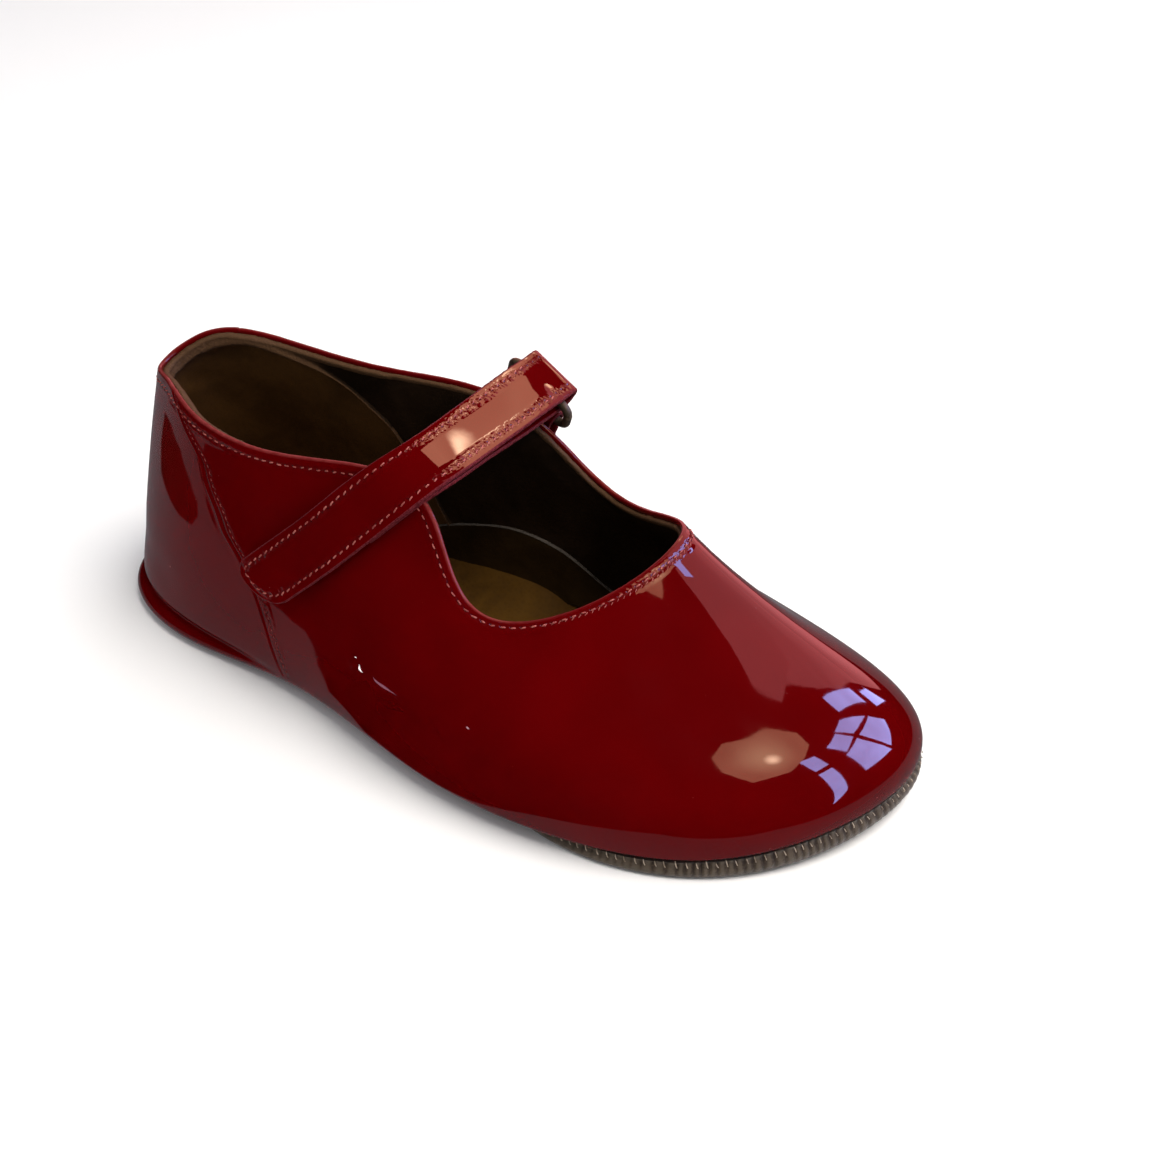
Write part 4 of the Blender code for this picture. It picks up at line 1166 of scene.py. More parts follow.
def make_rim_stitches(material):
    """Small whip stitches that hold the gathered rim to the upper round the forefoot."""
    turn = np.linspace(*RIM_STITCH_SPAN, 900)
    run = chord_knots(seam_line(turn)[0])
    starts = np.arange(0.001, run[-1] - 0.001, RIM_STITCH_PITCH)
    rng = np.random.default_rng(9)
    starts = starts + rng.uniform(-0.15, 0.15, len(starts)) * RIM_STITCH_PITCH
    at = np.interp(starts, run, turn)
    seam, out, inset, side, _ = sole_edge(at)
    course = unit(np.cross(out, np.broadcast_to([0.0, 0.0, 1.0], out.shape)))
    shares = np.linspace(0, 1, 6)
    tall = rng.uniform(0.35, 0.75, len(at))
    low = ground(seam[:, 0]) + side * 0.86
    rows = []
    for share in shares:
        height = low + (seam[:, 2] + 0.0001 - low) * share * tall
        bow = 0.00022 * math.sin(math.pi * share) + 0.00030 - 0.0002 * share
        slant = (share - 0.5) * 0.0004
        point = seam + out * (bow - inset)[:, None] + course * slant
        point[:, 2] = height
        rows.append(point)
    centres = np.stack(rows, axis=1)
    sides = np.broadcast_to(course[:, None], centres.shape)
    ups = np.broadcast_to(out[:, None], centres.shape)
    add_tubes("rim_stitches", centres, sides, ups, RIM_STITCH_RADIUS, material, "taupe_suede", 5)


def make_insole(material):
    """Leather sock on the sole, softly uneven, with a pressed fold across the waist."""
    count, across = 300, 61
    turn = spaced_turns(0.0012, 1.0, (), 1.0)
    turn = np.interp(np.arange(count) / count, np.arange(len(turn) + 1) / len(turn), np.append(turn, TURNS))
    seam, out, _, _, rim_share = sole_edge(turn)
    rim = RIM_WIDTH * rim_share
    edge = seam - out * (INSOLE_MARGIN + 0.35 * rim)[:, None]
    half = count // 2
    left = edge[:half + 1]
    right = edge[(count - np.arange(half + 1)) % count]
    shares = (1 - np.cos(np.linspace(0, math.pi, across))) / 2
    top = left[:, None] + (right - left)[:, None] * shares[None, :, None]
    wide = np.linalg.norm(right - left, axis=-1)[:, None]
    to_edge = np.minimum(shares, 1 - shares)[None, :] * wide
    rounded = np.sqrt(np.clip(to_edge / INSOLE_ROUNDING, 0, 1))
    inner_way = unit(right - left)[:, None]
    to_inner = (1 - shares)[None, :] * wide
    at_waist = smoothstep(-0.040, -0.018, top[..., 0]) * smoothstep(0.015, -0.003, top[..., 0])
    cup = smoothstep(CUP_REACH, 0.0, to_inner) ** 1.5 * at_waist
    middle = (left + right)[:, None] / 2
    bottom = top + (middle - top) * UNDER_TAPER
    top = top + inner_way * CUP_LEAN * cup[..., None]
    uneven = drift(top, 0.012, 81.0) * 0.35 * MM
    fold_gap = (top[..., 0] - 0.004) * 0.75 + (top[..., 1] + 0.004) * 0.66
    fold = 0.35 * MM * bell(fold_gap, 0.9 * MM) * smoothstep(0.020, 0.006, np.abs(top[..., 1] - 0.004))
    top[..., 2] = (ground(top[..., 0]) + SOLE_THICKNESS + GAP + INSOLE_THICKNESS * (0.35 + 0.65 * rounded)
                   + (uneven + fold) * rounded + CUP_HEIGHT * cup)
    bottom[..., 2] = ground(bottom[..., 0]) + SOLE_THICKNESS + GAP * 0.7
    grid = np.concatenate([top, bottom[:, ::-1]], axis=1)
    grid = grid[1:-1]
    add_grid("insole_sock", grid, material, "olive_lining_leather", stands_for=("insole",),
             marks={"raw": np.zeros(grid.shape[:2])}, sharp=60)


# ---------------------------------------------------------------- strap, ring and keeper

class Wall:
    """The upper's outer face and rounded top edge, as a target that other leather lies on."""

    def __init__(self):
        turn = np.linspace(0, TURNS, 321)[:-1]
        rises = np.linspace(0, 1, 61)
        points, normals, _, up_wall = wall_frame(turn[:, None], rises[None, :])
        top_out = normals[:, -1]
        top_up = unit(up_wall[:, -1])
        edge_middle = points[:, -1] - top_out * WALL / 2
        for angle in np.radians(np.arange(20, 181, 20)):
            way = top_out * math.cos(angle) + top_up * math.sin(angle)
            points = np.concatenate([points, (edge_middle + way * WALL / 2)[:, None]], axis=1)
            normals = np.concatenate([normals, way[:, None]], axis=1)
        self.points = points.reshape(-1, 3)
        self.normals = normals.reshape(-1, 3)
        self.tree = kdtree.KDTree(len(self.points))
        for i, point in enumerate(self.points):
            self.tree.insert(Vector(point), i)
        self.tree.balance()

    def above(self, point):
        """How high a point stands over the nearest place of the wall, and the way out there."""
        i = self.tree.find(Vector(point))[1]
        return (point - self.points[i]) @ self.normals[i], self.normals[i]

    def draped(self, points, stand_off):
        """Points pushed out until they stand at least stand_off clear of the wall."""
        moved = np.array(points, float)
        for _ in range(2):
            for point in moved.reshape(-1, 3):
                height, out = self.above(point)
                if height < stand_off:
                    point += out * (stand_off - height)
        return moved

    def laid(self, points, stand_off, share):
        """Points drawn towards the wall by a share of what brings them to stand_off from it."""
        moved = self.draped(points, stand_off)
        for point in moved.reshape(-1, 3):
            height, out = self.above(point)
            point += out * (stand_off - height) * share
        return self.draped(moved, stand_off)


class Sheet:
    """A smooth band through coarse rows of points, read at metres along and across."""

    def __init__(self, rows, across):
        self.rows = np.asarray(rows)
        self.across = np.asarray(across)
        self.knots = chord_knots(self.rows[:, self.rows.shape[1] // 2])
        self.length = self.knots[-1]

    def point(self, along, across):
        """Points at matching places along and across."""
        along, across = np.broadcast_arrays(along, across)
        shape = along.shape
        by_row = natural_spline(self.knots, np.eye(len(self.knots)), along.ravel())
        by_column = natural_spline(self.across, np.eye(len(self.across)), across.ravel())
        return np.einsum("nr,nc,rck->nk", by_row, by_column, self.rows).reshape(*shape, 3)

    def frame(self, along, across):
        """Points, normals and the ways along and across."""
        nudge = 0.0002
        ahead = self.point(along + nudge, across) - self.point(along - nudge, across)
        sideways = self.point(along, across + nudge) - self.point(along, across - nudge)
        return self.point(along, across), unit(np.cross(sideways, ahead)), unit(ahead), unit(sideways)

    def outer_face(self, along, across, thickness):
        """Points on the face that looks away from the shoe, and the ways out of it."""
        points, normals, _, _ = self.frame(along, across)
        out = normals * np.sign((normals * (points - INSIDE_SHOE)).sum(-1))[:, None]
        return points + out * thickness / 2, out


def strap_frame(shares):
    """Path points, course, line across and outward way at shares 0..1 of the strap's path."""
    points = place(*np.array([row[1:4] for row in STRAP_PATH]).T)
    lines = unit([row[4:7] for row in STRAP_PATH])
    knots = chord_knots(points)
    knots = knots / knots[-1]
    shares = np.asarray(shares, float)
    nudge = 0.002
    centre = natural_spline(knots, points, shares)
    course = unit(natural_spline(knots, points, np.minimum(shares + nudge, 1.0))
                  - natural_spline(knots, points, np.maximum(shares - nudge, 0.0)))
    line = unit(natural_spline(knots, lines, shares))
    square = line - course * (line * course).sum(-1, keepdims=True)
    outward = unit(np.cross(line, course))
    return centre, course, line / np.linalg.norm(square, axis=-1, keepdims=True), outward


def strap_rows(shares, side, wall, stand_off):
    """Coarse rows of one layer's middle surface. side is -1 for the under layer, 1 for the top."""
    centre, _, line, outward = strap_frame(shares)
    stack = STACK_ON_WALL + (STACK_AT_RING - STACK_ON_WALL) * smoothstep(*STACK_OPENS, shares)
    middle = centre + outward * (side * stack)[:, None]
    half = STRAP_WIDTH / 2
    grid = middle[:, None, :] + line[:, None, :] * np.linspace(-half, half, 5)[None, :, None]
    on_wall = shares < LEAVES_WALL
    away = outward[on_wall][:, None]

    def raised(points, clear):
        """How far the points move out along the strap's own way until clear of the wall."""
        push = wall.draped(points, clear) - points
        return (push * away).sum(-1, keepdims=True) * away

    lift = np.zeros_like(grid)
    lift[on_wall] = raised(grid[on_wall], stand_off)
    for _ in range(SMOOTHING_PASSES):
        ahead, behind = np.roll(lift, -1, 0), np.roll(lift, 1, 0)
        ahead[-1], behind[0] = lift[-1], lift[0]
        lift = (ahead + 2 * lift + behind) / 4
    grid += lift
    grid[on_wall] += raised(grid[on_wall], stand_off - (1.5 + 0.5 * side) * MM)
    loose = (smoothstep(0.0, 0.2, shares) * smoothstep(0.95, 0.75, shares))[1:-1, None, None]
    for _ in range(LOOSENING_PASSES):
        grid[1:-1] += (grid[:-2] + grid[2:] - 2 * grid[1:-1]) / 4 * loose
    return grid


def strap_sheet(wall):
    """The strap's middle surface from its sewn end, round the ring and back to its free end."""
    centre, course, line, outward = strap_frame([1.0])
    half = STRAP_WIDTH / 2
    under_clear = GAP + DRAPE_ALLOWANCE + STRAP_THICKNESS / 2
    under = strap_rows(np.linspace(BASE_START, 1.0, UNDER_ROWS), -1, wall, under_clear)
    fold = []
    for _, past, over in STRAP_FOLD:
        middle = centre[0] + course[0] * past + outward[0] * over
        fold.append(middle + line[0] * np.linspace(-half, half, 5)[:, None])
    top_clear = under_clear + STRAP_THICKNESS + GAP
    top = strap_rows(np.linspace(1.0, 0.0, TOP_ROWS), 1, wall, top_clear)
    rows = np.concatenate([under, np.array(fold), top])
    return Sheet(rows, np.linspace(-half, half, 5))


def tip_edges(distance, inset=0.0):
    """How far a rounded outline reaches back and front of the middle, at a distance from its end."""
    half = STRAP_WIDTH / 2 - inset
    edges = []
    for corner in (TIP_CORNER_BACK - inset, TIP_CORNER_FRONT - inset):
        gap = np.clip(corner - (distance - inset), 0.0, corner)
        edges.append(half - corner + np.sqrt(np.maximum(corner ** 2 - gap ** 2, 0.0)))
    return -edges[0], edges[1]


def band_grid(sheet, along, back, front, thickness, waver):
    """Closed cross-sections of a leather band: top face, rounded edge, under face, rounded edge."""
    across_top = np.linspace(0, 1, 23)
    across_low = np.linspace(1, 0, 23)
    round_angles = np.radians(EDGE_ANGLES)
    edge = thickness * 0.42
    rows = len(along)
    width = (front - back)[:, None]
    trim = np.minimum(edge, width[:, 0] * 0.45)[:, None]

    def lifted(share, lift, push):
        across = back[:, None] + trim + (width - 2 * trim) * share[None, :]
        points, normals, _, sideways = sheet.frame(np.broadcast_to(along[:, None], across.shape), across)
        return points + normals * lift[None, :, None] + sideways * push[:, :, None]

    flat = np.full(len(across_top), thickness / 2)
    level = np.zeros((rows, len(across_top)))
    top = lifted(across_top, flat, level)
    low = lifted(across_low, -flat, level)
    ones = np.ones(len(round_angles))
    jitter = 1 + waver * np.random.default_rng(rows).uniform(-1, 1, (rows, 1))
    lift = np.sin(round_angles) * thickness / 2
    push = trim * np.cos(round_angles)[None] * jitter
    front_edge = lifted(ones, lift, push)
    back_edge = lifted(0 * ones, -lift, -push)
    grid = np.concatenate([top, front_edge, low, back_edge], axis=1)
    raw = np.zeros(grid.shape[:2])
    raw[:, len(across_top):len(across_top) + len(EDGE_ANGLES)] = 1.0
    raw[:, -len(EDGE_ANGLES):] = 1.0
    return grid, raw, len(across_top)


def strap_stitch_path(sheet, inset):
    """The stitch row's places along and across the strap's top layer, from ring round the tip and back."""
    total = sheet.length
    to_ring = total - (strap_top_start(sheet) + 0.0012)
    front_run = np.linspace(to_ring, TIP_CORNER_FRONT, 120)
    corner_f = TIP_CORNER_FRONT - inset
    corner_b = TIP_CORNER_BACK - inset
    back_run = np.linspace(TIP_CORNER_BACK, to_ring, 130)
    half = STRAP_WIDTH / 2 - inset
    angles_f = np.radians(np.linspace(0, 90, 60))
    angles_b = np.radians(np.linspace(90, 0, 12))
    distance = [front_run, inset + corner_f - corner_f * np.sin(angles_f),
                inset + corner_b - corner_b * np.sin(angles_b), back_run]
    across = [np.full(len(front_run), half), half - corner_f + corner_f * np.cos(angles_f),
              -(half - corner_b + corner_b * np.cos(angles_b)), np.full(len(back_run), -half)]
    return total - np.concatenate(distance), np.concatenate(across)


def strap_top_start(sheet):
    """Metres along the sheet where its top layer starts, just past the fold round the ring."""
    return sheet.knots[UNDER_ROWS + len(STRAP_FOLD)]


def make_strap(sheet, patent, sewing):
    """The strap and its stitching."""
    total = sheet.length
    start = strap_top_start(sheet)
    under = np.linspace(0.0, start - 0.007, 70)[:-1]
    fold = np.linspace(start - 0.007, start + 0.002, 50)[:-1]
    top = np.linspace(start + 0.002, total - 0.010, 130)[:-1]
    tip = total - 0.010 * np.linspace(1, 0, 60) ** 1.6
    along = np.concatenate([under, fold, top, tip[:-1], [total - 0.00002]])
    back, front = tip_edges(total - along)
    grid, raw, width_points = band_grid(sheet, along, back, front, STRAP_THICKNESS, waver=0.10)
    inset = STRAP_ROW_INSET
    gap = np.full(grid.shape[:2], FAR)
    run = np.tile(along[:, None], (1, grid.shape[1]))
    across = back[:, None] + (front - back)[:, None] * np.linspace(0, 1, width_points)[None, :]
    row_back, row_front = tip_edges(total - along, inset)
    nearest = np.minimum(np.abs(across - row_front[:, None]), np.abs(across - row_back[:, None]))
    nearest = np.where((total - along < inset)[:, None], FAR, nearest)
    gap[:, :width_points] = nearest
    gap[:, width_points + len(EDGE_ANGLES):-len(EDGE_ANGLES)] = nearest[:, ::-1]
    add_grid("strap_leather", grid, patent, "red_patent_leather", stands_for=("strap",),
             marks={"raw": raw, "edge_gap": gap, "edge_run": run}, sharp=75)
    at, where = strap_stitch_path(sheet, inset)
    stitches("strap_stitches", *sheet.outer_face(at, where, STRAP_THICKNESS), sewing)


def ring_frame():
    """Middle of the ring's outer bar, the ring's long way and the way from inner to outer bar."""
    centre, course, line, outward = (part[0] for part in strap_frame([1.0]))
    long_way = unit(line)
    rise = unit(outward * RING_OUTWARD + course * RING_ALONG)
    return centre, long_way, rise


def make_ring(material):
    """Long wire loop that the strap runs through."""
    bar, long_way, rise = ring_frame()
    half_long = (RING_LENGTH - WIRE) / 2
    half_high = (RING_HEIGHT - WIRE) / 2
    middle = bar - rise * half_high
    centres, aways = [], []
    for quarter in range(4):
        side_long = (1, -1, -1, 1)[quarter] * (half_long - RING_CORNER)
        side_high = (1, 1, -1, -1)[quarter] * (half_high - RING_CORNER)
        for angle in np.radians(90 * quarter + np.linspace(0, 90, 13)):
            away = long_way * math.cos(angle) + rise * math.sin(angle)
            corner = middle + long_way * side_long + rise * side_high
            centres.append(corner + away * RING_CORNER)
            aways.append(away)
    centres, aways = np.array(centres), np.array(aways)
    plane = np.cross(long_way, rise)
    angles = np.arange(18) * 2 * math.pi / 18
    grid = (centres[:, None] + WIRE / 2 * (np.cos(angles)[None, :, None] * aways[:, None]
                                            + np.sin(angles)[None, :, None] * plane))
    add_grid("ring_wire", grid, material, "aged_brass", wrap_rows=True, stands_for=("ring",))


def make_keeper(wall, patent, sewing):
    """Leather keeper folded over the ring's inner bar and sewn down the inner side."""
    bar, long_way, rise = ring_frame()
    inner_bar = bar - rise * (RING_HEIGHT - WIRE)
    radius = WIRE / 2 + GAP + KEEPER_THICKNESS / 2
    _, normal = wall.above(inner_bar)
    normal = unit(normal - long_way * (normal @ long_way))
    down = unit(np.cross(long_way, normal))
    if down[2] > 0:
        down = -down
    clear = GAP + DRAPE_ALLOWANCE + KEEPER_THICKNESS / 2
    over_tuck = clear + KEEPER_THICKNESS + GAP
    profile = [(KEEPER_TUCK * share, -radius, clear) for share in (1.0, 0.5)]
    for angle in np.radians(np.arange(0, 181, 20)):
        profile.append((-radius * math.sin(angle), -radius * math.cos(angle), clear))
    for share in np.linspace(0, 1, 9)[1:]:
        depth = KEEPER_LENGTH * share
        profile.append((depth, radius, clear if depth > KEEPER_TUCK + KEEPER_THICKNESS else over_tuck))
    rows = []
    for depth, off, stand_off in profile:
        share = np.clip(depth / KEEPER_LENGTH, 0, 1)
        width = KEEPER_WIDTH_TOP + (KEEPER_WIDTH_LOW - KEEPER_WIDTH_TOP) * (share if off > 0 else 0.0)
        middle = inner_bar + down * depth + normal * off
        row = middle + long_way * (np.linspace(-0.5, 0.5, 5) * width)[:, None]
        rows.append(wall.laid(row, stand_off, smoothstep(*KEEPER_SETTLES, depth)))
    sheet = Sheet(rows, np.linspace(-0.5, 0.5, 5) * KEEPER_WIDTH_TOP)
    total = sheet.length
    half = KEEPER_WIDTH_TOP / 2
    corner = KEEPER_CORNER
    along = np.concatenate([
        np.linspace(0, total - corner, 90)[:-1], total - corner * np.linspace(1, 0, 30) ** 1.5])
    gap = np.clip(corner - (total - along), 0, corner)
    rounding = np.sqrt(np.maximum(corner ** 2 - gap ** 2, 0))
    reach = half - corner * KEEPER_FULLNESS + KEEPER_FULLNESS * rounding - 0.00001
    grid, raw, _ = band_grid(sheet, along, -reach, reach, KEEPER_THICKNESS, waver=0.08)
    far = np.full(grid.shape[:2], FAR)
    add_grid("keeper_leather", grid, patent, "red_patent_leather", stands_for=("ring_keeper",),
             marks={"raw": raw, "edge_gap": far, "edge_run": far}, sharp=75)
    inset = KEEPER_ROW_INSET
    fold_end = sheet.knots[11] + 0.0012
    down_run = np.linspace(fold_end, total - corner, 60)
    angles = np.radians(np.linspace(0, 90, 40))
    turn_in = corner - inset
    bend_along = total - corner + turn_in * np.sin(angles)
    bend_reach = half - inset - KEEPER_FULLNESS * turn_in * (1 - np.cos(angles))
    bottom = np.linspace(bend_reach[-1], -bend_reach[-1], 30)[1:-1]
    side = np.full(len(down_run), half - inset)
    at = np.concatenate([
        down_run, bend_along, np.full(len(bottom), bend_along[-1]), bend_along[::-1], down_run[::-1]])
    where = np.concatenate([side, bend_reach, bottom, -bend_reach[::-1], -side])
    stitches("keeper_stitches", *sheet.outer_face(at, where, KEEPER_THICKNESS), sewing)


def make_upper_stitches(sewing, fine_sewing):
    """Stitch rows along the top edge and fine ones down the front of the heel panel's seams."""
    points, normals, _ = edge_row_path()
    stitches("edge_stitches", points, normals, sewing)
    turn = np.linspace(*SECOND_ROW, 200)
    beside = SECOND_ROW_OFF * np.sin(math.pi * np.linspace(0, 1, 200))
    points, normals, _, _ = wall_frame(turn, depth_table.rise(turn, edge_row(turn) + beside))
    stitches("throat_stitches", points, normals, sewing)
    rise = np.linspace(0.97, 0.02, 300)
    seam = panel_seam_turn(rise)
    for name, turn in (("outer", seam), ("inner", TURNS - seam)):
        _, _, round_shoe, _ = wall_frame(turn, rise)
        ahead = PANEL_ROW_OFF / np.linalg.norm(round_shoe, axis=-1) / SEAM_SLANT
        beside = turn + (ahead if name == "outer" else -ahead)
        points, normals, _, _ = wall_frame(beside, rise)
        stitches("panel_stitches_" + name, points + normals * 0.00003, normals, fine_sewing)


# ---------------------------------------------------------------- stage

def direction(azimuth, elevation):
    """Way from the shoe towards an azimuth (0 the outer side, 90 the toe) and an elevation."""
    a, e = math.radians(azimuth), math.radians(elevation)
    return np.array([math.sin(a) * math.cos(e), -math.cos(a) * math.cos(e), math.sin(e)])


def seen_from(point, corners, distance):
    """Places that lie at these azimuths and elevations from a point, all equally far from it."""
    return [np.array(point) + direction(*corner) * distance for corner in corners]


def glow(name, colour, strength, cloud=1.0, cores=()):
    """Light-giving surface, a little cloudy, brighter round its cores: place, reach in metres, colour."""
    finish = Finish(name, Base_Color=(0.0, 0.0, 0.0, 1.0), Roughness=1.0, Specular_IOR_Level=0.0,
                    Emission_Strength=strength)
    tone = finish.between(finish.noise(cloud, 2.0), 0.25, 0.75)
    colour = finish.mix(tone, shade(colour, 0.82), shade(colour, 1.1))
    for middle, reach, bright in cores:
        away = finish.node(
            "ShaderNodeVectorMath", {"operation": "DISTANCE"}, {0: finish.place, 1: middle}, 1)
        colour = finish.mix(finish.between(away, reach, 0.0), colour, bright)
    return finish.end(Emission_Color=colour)


def add_card(name, points, material, faces=None):
    """A light card of the studio, seen only in reflections. It is one face unless faces are given."""
    card = mesh_object(name, points, faces or [range(len(points))], material)
    for sight in ("camera", "diffuse", "transmission", "volume_scatter", "shadow"):
        setattr(card, "visible_" + sight, False)


SOFT_LIGHTS = (
    # name         azimuth elevation distance size power colour
    ("key",        90,     62,       1.2,     0.9, 15.0, (1.0, 0.95, 0.90)),
    ("front_fill", -25,    50,       1.4,     1.2, 1.6,  (1.0, 0.98, 0.97)),
    ("back_fill",  170,    45,       1.4,     1.2, 6.0,  (0.97, 0.97, 1.0)),
)
SKY = (0.93, 0.95, 1.0, 1.0)
SKY_STRENGTH = 0.36
WINDOW_PANES = (
    # corners as azimuth, elevation
    ((137, 47), (154, 27), (151, 24), (135, 43)),
    ((156, 22), (162, 14), (161, 8), (153, 18)),
    ((130, 44), (141, 30), (126, 38), (122, 46)),
    ((142, 28), (146, 18), (131, 12), (127, 35)),
    ((121, 46), (124, 38), (112, 38), (110, 47)),
    ((124, 36), (129, 10), (107, 16), (110, 37)),
    ((102, 49), (100, 40), (92, 41), (94, 51)),
    ((99, 37), (94, 8), (86, -4), (91, 38)),
)
PALE_WALL = (
    # azimuth, lowest and highest elevation
    (117, 66, 78), (122, 63, 82), (125, 60, 84), (128, 57, 86), (138, 47, 86), (148, 34, 86),
    (158, 22, 60), (167, 3, 48), (185, -6, 42), (205, -6, 42), (225, 10, 40), (240, 20, 40))
# The pale ground that the leather mirrors, in metres, and a dark gap in it.
PALE_GROUND = (
    (-0.240, -0.110), (-0.129, -0.082), (-0.071, -0.052), (-0.058, -0.045), (-0.037, -0.033),
    (-0.025, -0.028), (-0.010, -0.028), (0.012, -0.033), (0.030, -0.040), (0.063, -0.050),
    (0.100, -0.034), (0.116, 0.000), (0.128, 0.060), (0.140, 0.300), (-0.240, 0.300))
GROUND_GAP = (
    (-0.199, 0.021), (-0.206, 0.002), (-0.206, -0.037), (-0.186, -0.065), (-0.164, -0.076), (-0.143, -0.067),
    (-0.132, -0.053), (-0.136, -0.036), (-0.146, -0.016), (-0.155, 0.004), (-0.172, 0.015))
# Lamps and surfaces close by, whose directions are taken from one place on the shoe.
TOE_POINT = (0.0645, -0.0156, 0.0197)
THROAT_POINT = (0.0450, 0.0014, 0.0355)
STRAP_POINT = (0.0000, 0.0000, 0.0565)
TOE_LAMP_DISTANCE = 0.16
THROAT_WALL_DISTANCE = 0.12
STRAP_LAMP_DISTANCE = 0.35
WINDOW_DISTANCE = 1.0
PALE_WALL_DISTANCE = 3.3
FLOOR_REACH = 6.0
LAMP_SHADE = (
    (58, 60), (62, 69), (79, 72), (94, 69), (111, 65), (116, 56), (111, 51), (101, 49), (87, 47), (66, 49))
THROAT_WALL = (
    (110, 52), (105, 59), (106, 63), (117, 62), (118, 68), (140, 70), (152, 56), (154, 34), (131, 43))
STRAP_SHADE = (
    (-147, 66), (-158, 67), (-172, 64), (-180, 60), (172, 54), (160, 53), (148, 49), (150, 42), (165, 40.5),
    (180, 41), (-168, 40), (-161, 48), (-156, 57))
LAMPS = (
    # name, the place its directions are taken from, distance, outline, colour, strength, cloud,
    # then its bright places: azimuth and elevation, reach in metres, colour
    ("toe_lamp", TOE_POINT, TOE_LAMP_DISTANCE, LAMP_SHADE, (0.23, 0.105, 0.065), 15.0, 0.04,
     (((88.0, 60.0), 0.034, (0.42, 0.25, 0.15)), ((89.5, 57.5), 0.0105, (1.7, 1.1, 0.75)))),
    ("strap_lamp", STRAP_POINT, STRAP_LAMP_DISTANCE, STRAP_SHADE, (0.27, 0.115, 0.07), 18.0, 0.08,
     (((-171.5, 49.5), 0.022, (1.5, 0.95, 0.62)), ((168.5, 43.0), 0.016, (1.3, 0.80, 0.50)))),
)
# Small cards close to the leather: the place that mirrors one, the way from there to
# it, its size in metres, its slant in degrees, colour and strength. They make the glints
# beside the pinches, the window at the throat and the dark end of the strap.
NEAR_CARDS = (
    # along   across   up      azimuth elevation  long    tall    slant  colour             strength
    (-0.0073, -0.0272, 0.0198, -60, -25,          0.0017, 0.0005, 28,    (1.0, 0.92, 0.90), 22.0),
    (0.0010, -0.0301, 0.0186, -56, -12,           0.0075, 0.0010, 6,     (1.0, 0.55, 0.75), 3.0),
    (0.0194, -0.0324, 0.0189, -27, 9,             0.0009, 0.0009, 0,     (1.0, 0.70, 0.80), 9.0),
    (0.0401, 0.0034, 0.0396, 109, 46,             0.0042, 0.0030, 78,    (0.34, 0.41, 0.96), 12.0),
    (0.0026, 0.0254, 0.0582, 161, 58,             0.0160, 0.0042, -14,   (0.0, 0.0, 0.0), 0.0),
)
NEAR_CARD_DISTANCE = 0.014


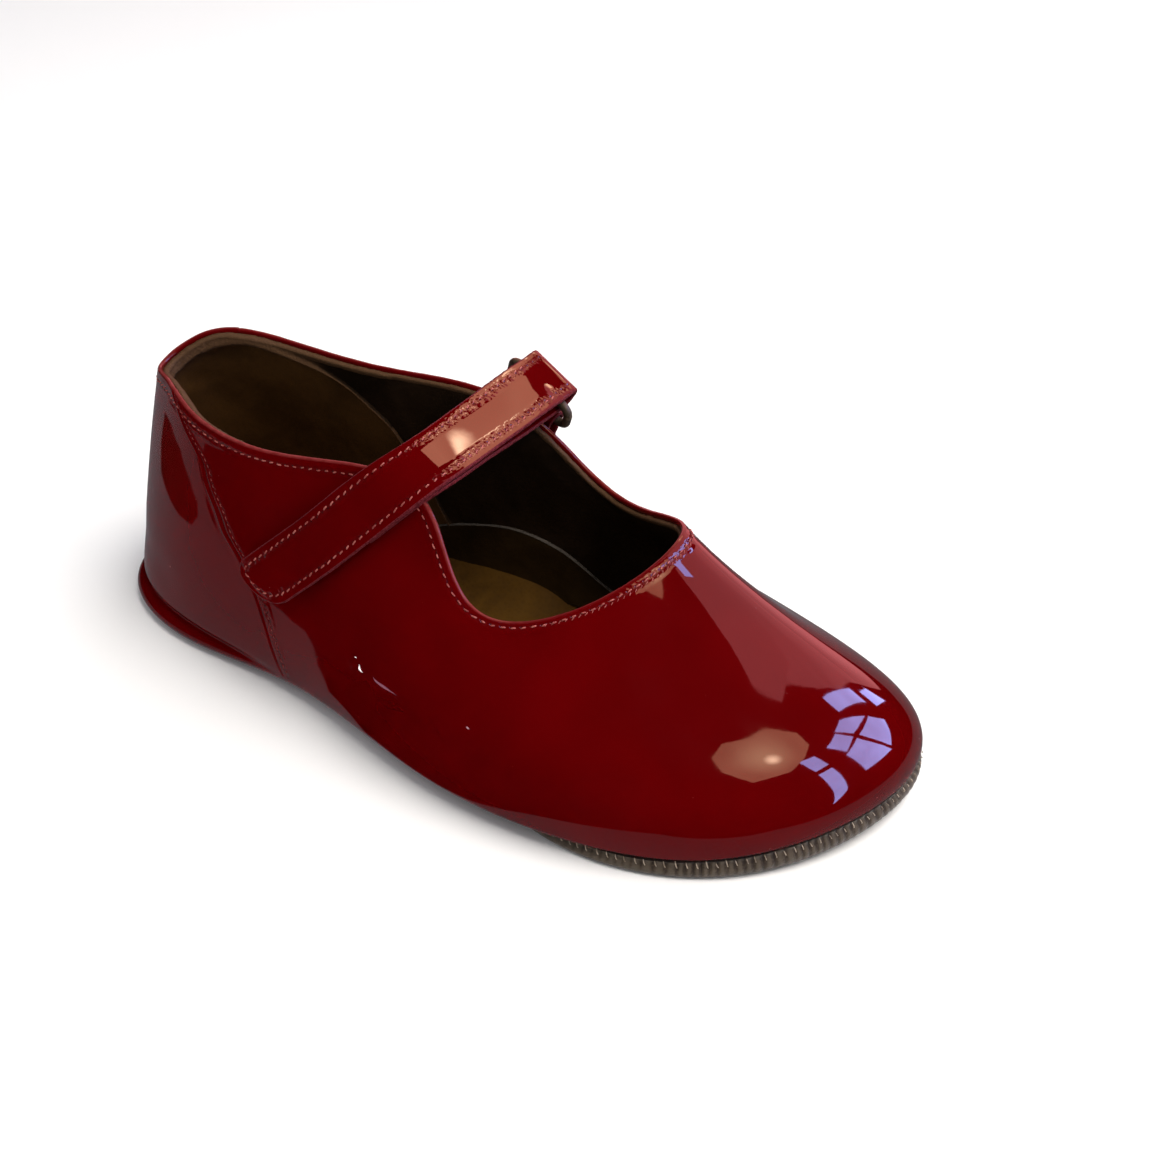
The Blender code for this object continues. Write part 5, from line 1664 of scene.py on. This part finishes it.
def make_lights():
    """Soft light for the colours, and the lamp, windows and pale walls that the patent leather mirrors."""
    scene = bpy.context.scene
    world = bpy.data.worlds.new("studio")
    world.use_nodes = True
    sky = world.node_tree.nodes["Background"]
    sky.inputs["Color"].default_value = SKY
    sky.inputs["Strength"].default_value = SKY_STRENGTH
    world.cycles_visibility.glossy = False
    scene.world = world

    for name, azimuth, elevation, distance, size, power, colour in SOFT_LIGHTS:
        data = bpy.data.lights.new(name, "AREA")
        data.shape = "DISK"
        data.size = size
        data.energy = power
        data.color = colour
        lamp = bpy.data.objects.new(name, data)
        way = direction(azimuth, elevation)
        lamp.location = Vector(way * distance)
        lamp.rotation_mode = "QUATERNION"
        lamp.rotation_quaternion = Vector(way).to_track_quat("Z", "Y")
        lamp.visible_glossy = False
        lamp.visible_camera = False
        scene.collection.objects.link(lamp)

    lilac = glow("window_light", (0.34, 0.41, 0.96), 13.0, 0.25)
    for i, corners in enumerate(WINDOW_PANES):
        add_card(f"window_pane_{i + 1}", seen_from(TOE_POINT, corners, WINDOW_DISTANCE), lilac)
    heights = 7
    wall_points = [direction(azimuth, elevation) * PALE_WALL_DISTANCE
                   for azimuth, low, high in PALE_WALL for elevation in np.linspace(low, high, heights)]
    rosy = glow("wall_light", (1.0, 0.30, 0.32), 2.2, 0.6)
    add_card("pale_wall", wall_points, rosy, grid_faces(len(PALE_WALL), heights, False, False).tolist())
    add_card("throat_wall", seen_from(THROAT_POINT, THROAT_WALL, THROAT_WALL_DISTANCE), rosy)

    for name, point, distance, outline, colour, strength, cloud, cores in LAMPS:
        cores = [(seen_from(point, [way], distance)[0], reach, bright) for way, reach, bright in cores]
        light = glow(name + "_light", colour, strength, cloud, cores)
        add_card(name, seen_from(point, outline, distance), light)
    on_floor = [(x, y, 0.0001) for x, y in PALE_GROUND]
    add_card("pale_ground", on_floor, glow("ground_light", (0.95, 0.93, 1.0), 0.20))
    for i, (x, y, z, azimuth, elevation, long, tall, slant, colour, strength) in enumerate(NEAR_CARDS):
        way = direction(azimuth, elevation)
        level = unit(np.cross(way, [0.0, 0.0, 1.0]))
        steep = np.cross(level, way)
        a = math.radians(slant)
        along, across = level * math.cos(a) + steep * math.sin(a), steep * math.cos(a) - level * math.sin(a)
        middle = np.array([x, y, z]) + way * NEAR_CARD_DISTANCE
        corners = [middle + along * long / 2 * u + across * tall / 2 * v
                   for u, v in ((-1, 0), (0, -1), (1, 0), (0, 1))]
        add_card(f"glint_{i + 1}", corners, glow(f"glint_light_{i + 1}", colour, strength))
    on_ground = [(x, y, 0.0002) for x, y in GROUND_GAP]
    add_card("ground_gap", on_ground, glow("ground_gap_light", (0.9, 0.4, 0.3), 0.02))


def make_floor():
    """Plain pale floor."""
    finish = Finish("pale_floor", Roughness=0.9, Specular_IOR_Level=0.1)
    tone = finish.mix(finish.noise(0.3, 1.0), (0.955, 0.955, 0.955), (0.975, 0.975, 0.975))
    corners = [(x * FLOOR_REACH, y * FLOOR_REACH, 0) for x, y in ((-1, -1), (1, -1), (1, 1), (-1, 1))]
    floor = mesh_object("floor", corners, [(0, 1, 2, 3)], finish.end(Base_Color=tone))
    floor.visible_glossy = False


def make_camera():
    """The camera above the toe's outer side."""
    data = bpy.data.cameras.new("camera")
    data.sensor_width = 36.0
    data.lens = CAMERA_LENS
    data.shift_x, data.shift_y = CAMERA_SHIFT
    data.clip_start = 0.01
    camera = bpy.data.objects.new("camera", data)
    camera.location = CAMERA_EYE
    camera.rotation_mode = "QUATERNION"
    camera.rotation_quaternion = (Vector(CAMERA_TARGET) - Vector(CAMERA_EYE)).to_track_quat("-Z", "Y")
    bpy.context.scene.collection.objects.link(camera)
    bpy.context.scene.camera = camera


depth_table = Depths()


def main():
    """Build every piece, the stage and the camera."""
    bpy.context.scene.view_settings.view_transform = "Standard"
    skin = patent_leather("red_patent_leather", rows=("edge", "panel"))
    band = patent_leather("strap_patent_leather", rows=("edge",), edge=True, pucker=0.00008)
    heel, quarter, sock, wing = (lining_leather(*row) for row in LININGS)
    sewing = thread("salmon_thread", (0.25, 0.036, 0.030), (0.46, 0.125, 0.10))
    rim_thread = thread("pale_thread", (0.18, 0.13, 0.08), (0.46, 0.37, 0.28))
    wall = Wall()
    make_upper_skin(skin)
    make_heel_lining(heel)
    make_quarter_lining(quarter)
    make_arch_wing(wing)
    make_upper_stitches(sewing, thread("red_thread", (0.13, 0.015, 0.015), (0.28, 0.06, 0.05)))
    make_sole(sole_suede())
    make_rim_stitches(rim_thread)
    make_insole(sock)
    make_strap(strap_sheet(wall), band, sewing)
    make_ring(aged_brass())
    make_keeper(wall, band, sewing)
    make_lights()
    make_floor()
    make_camera()


main()
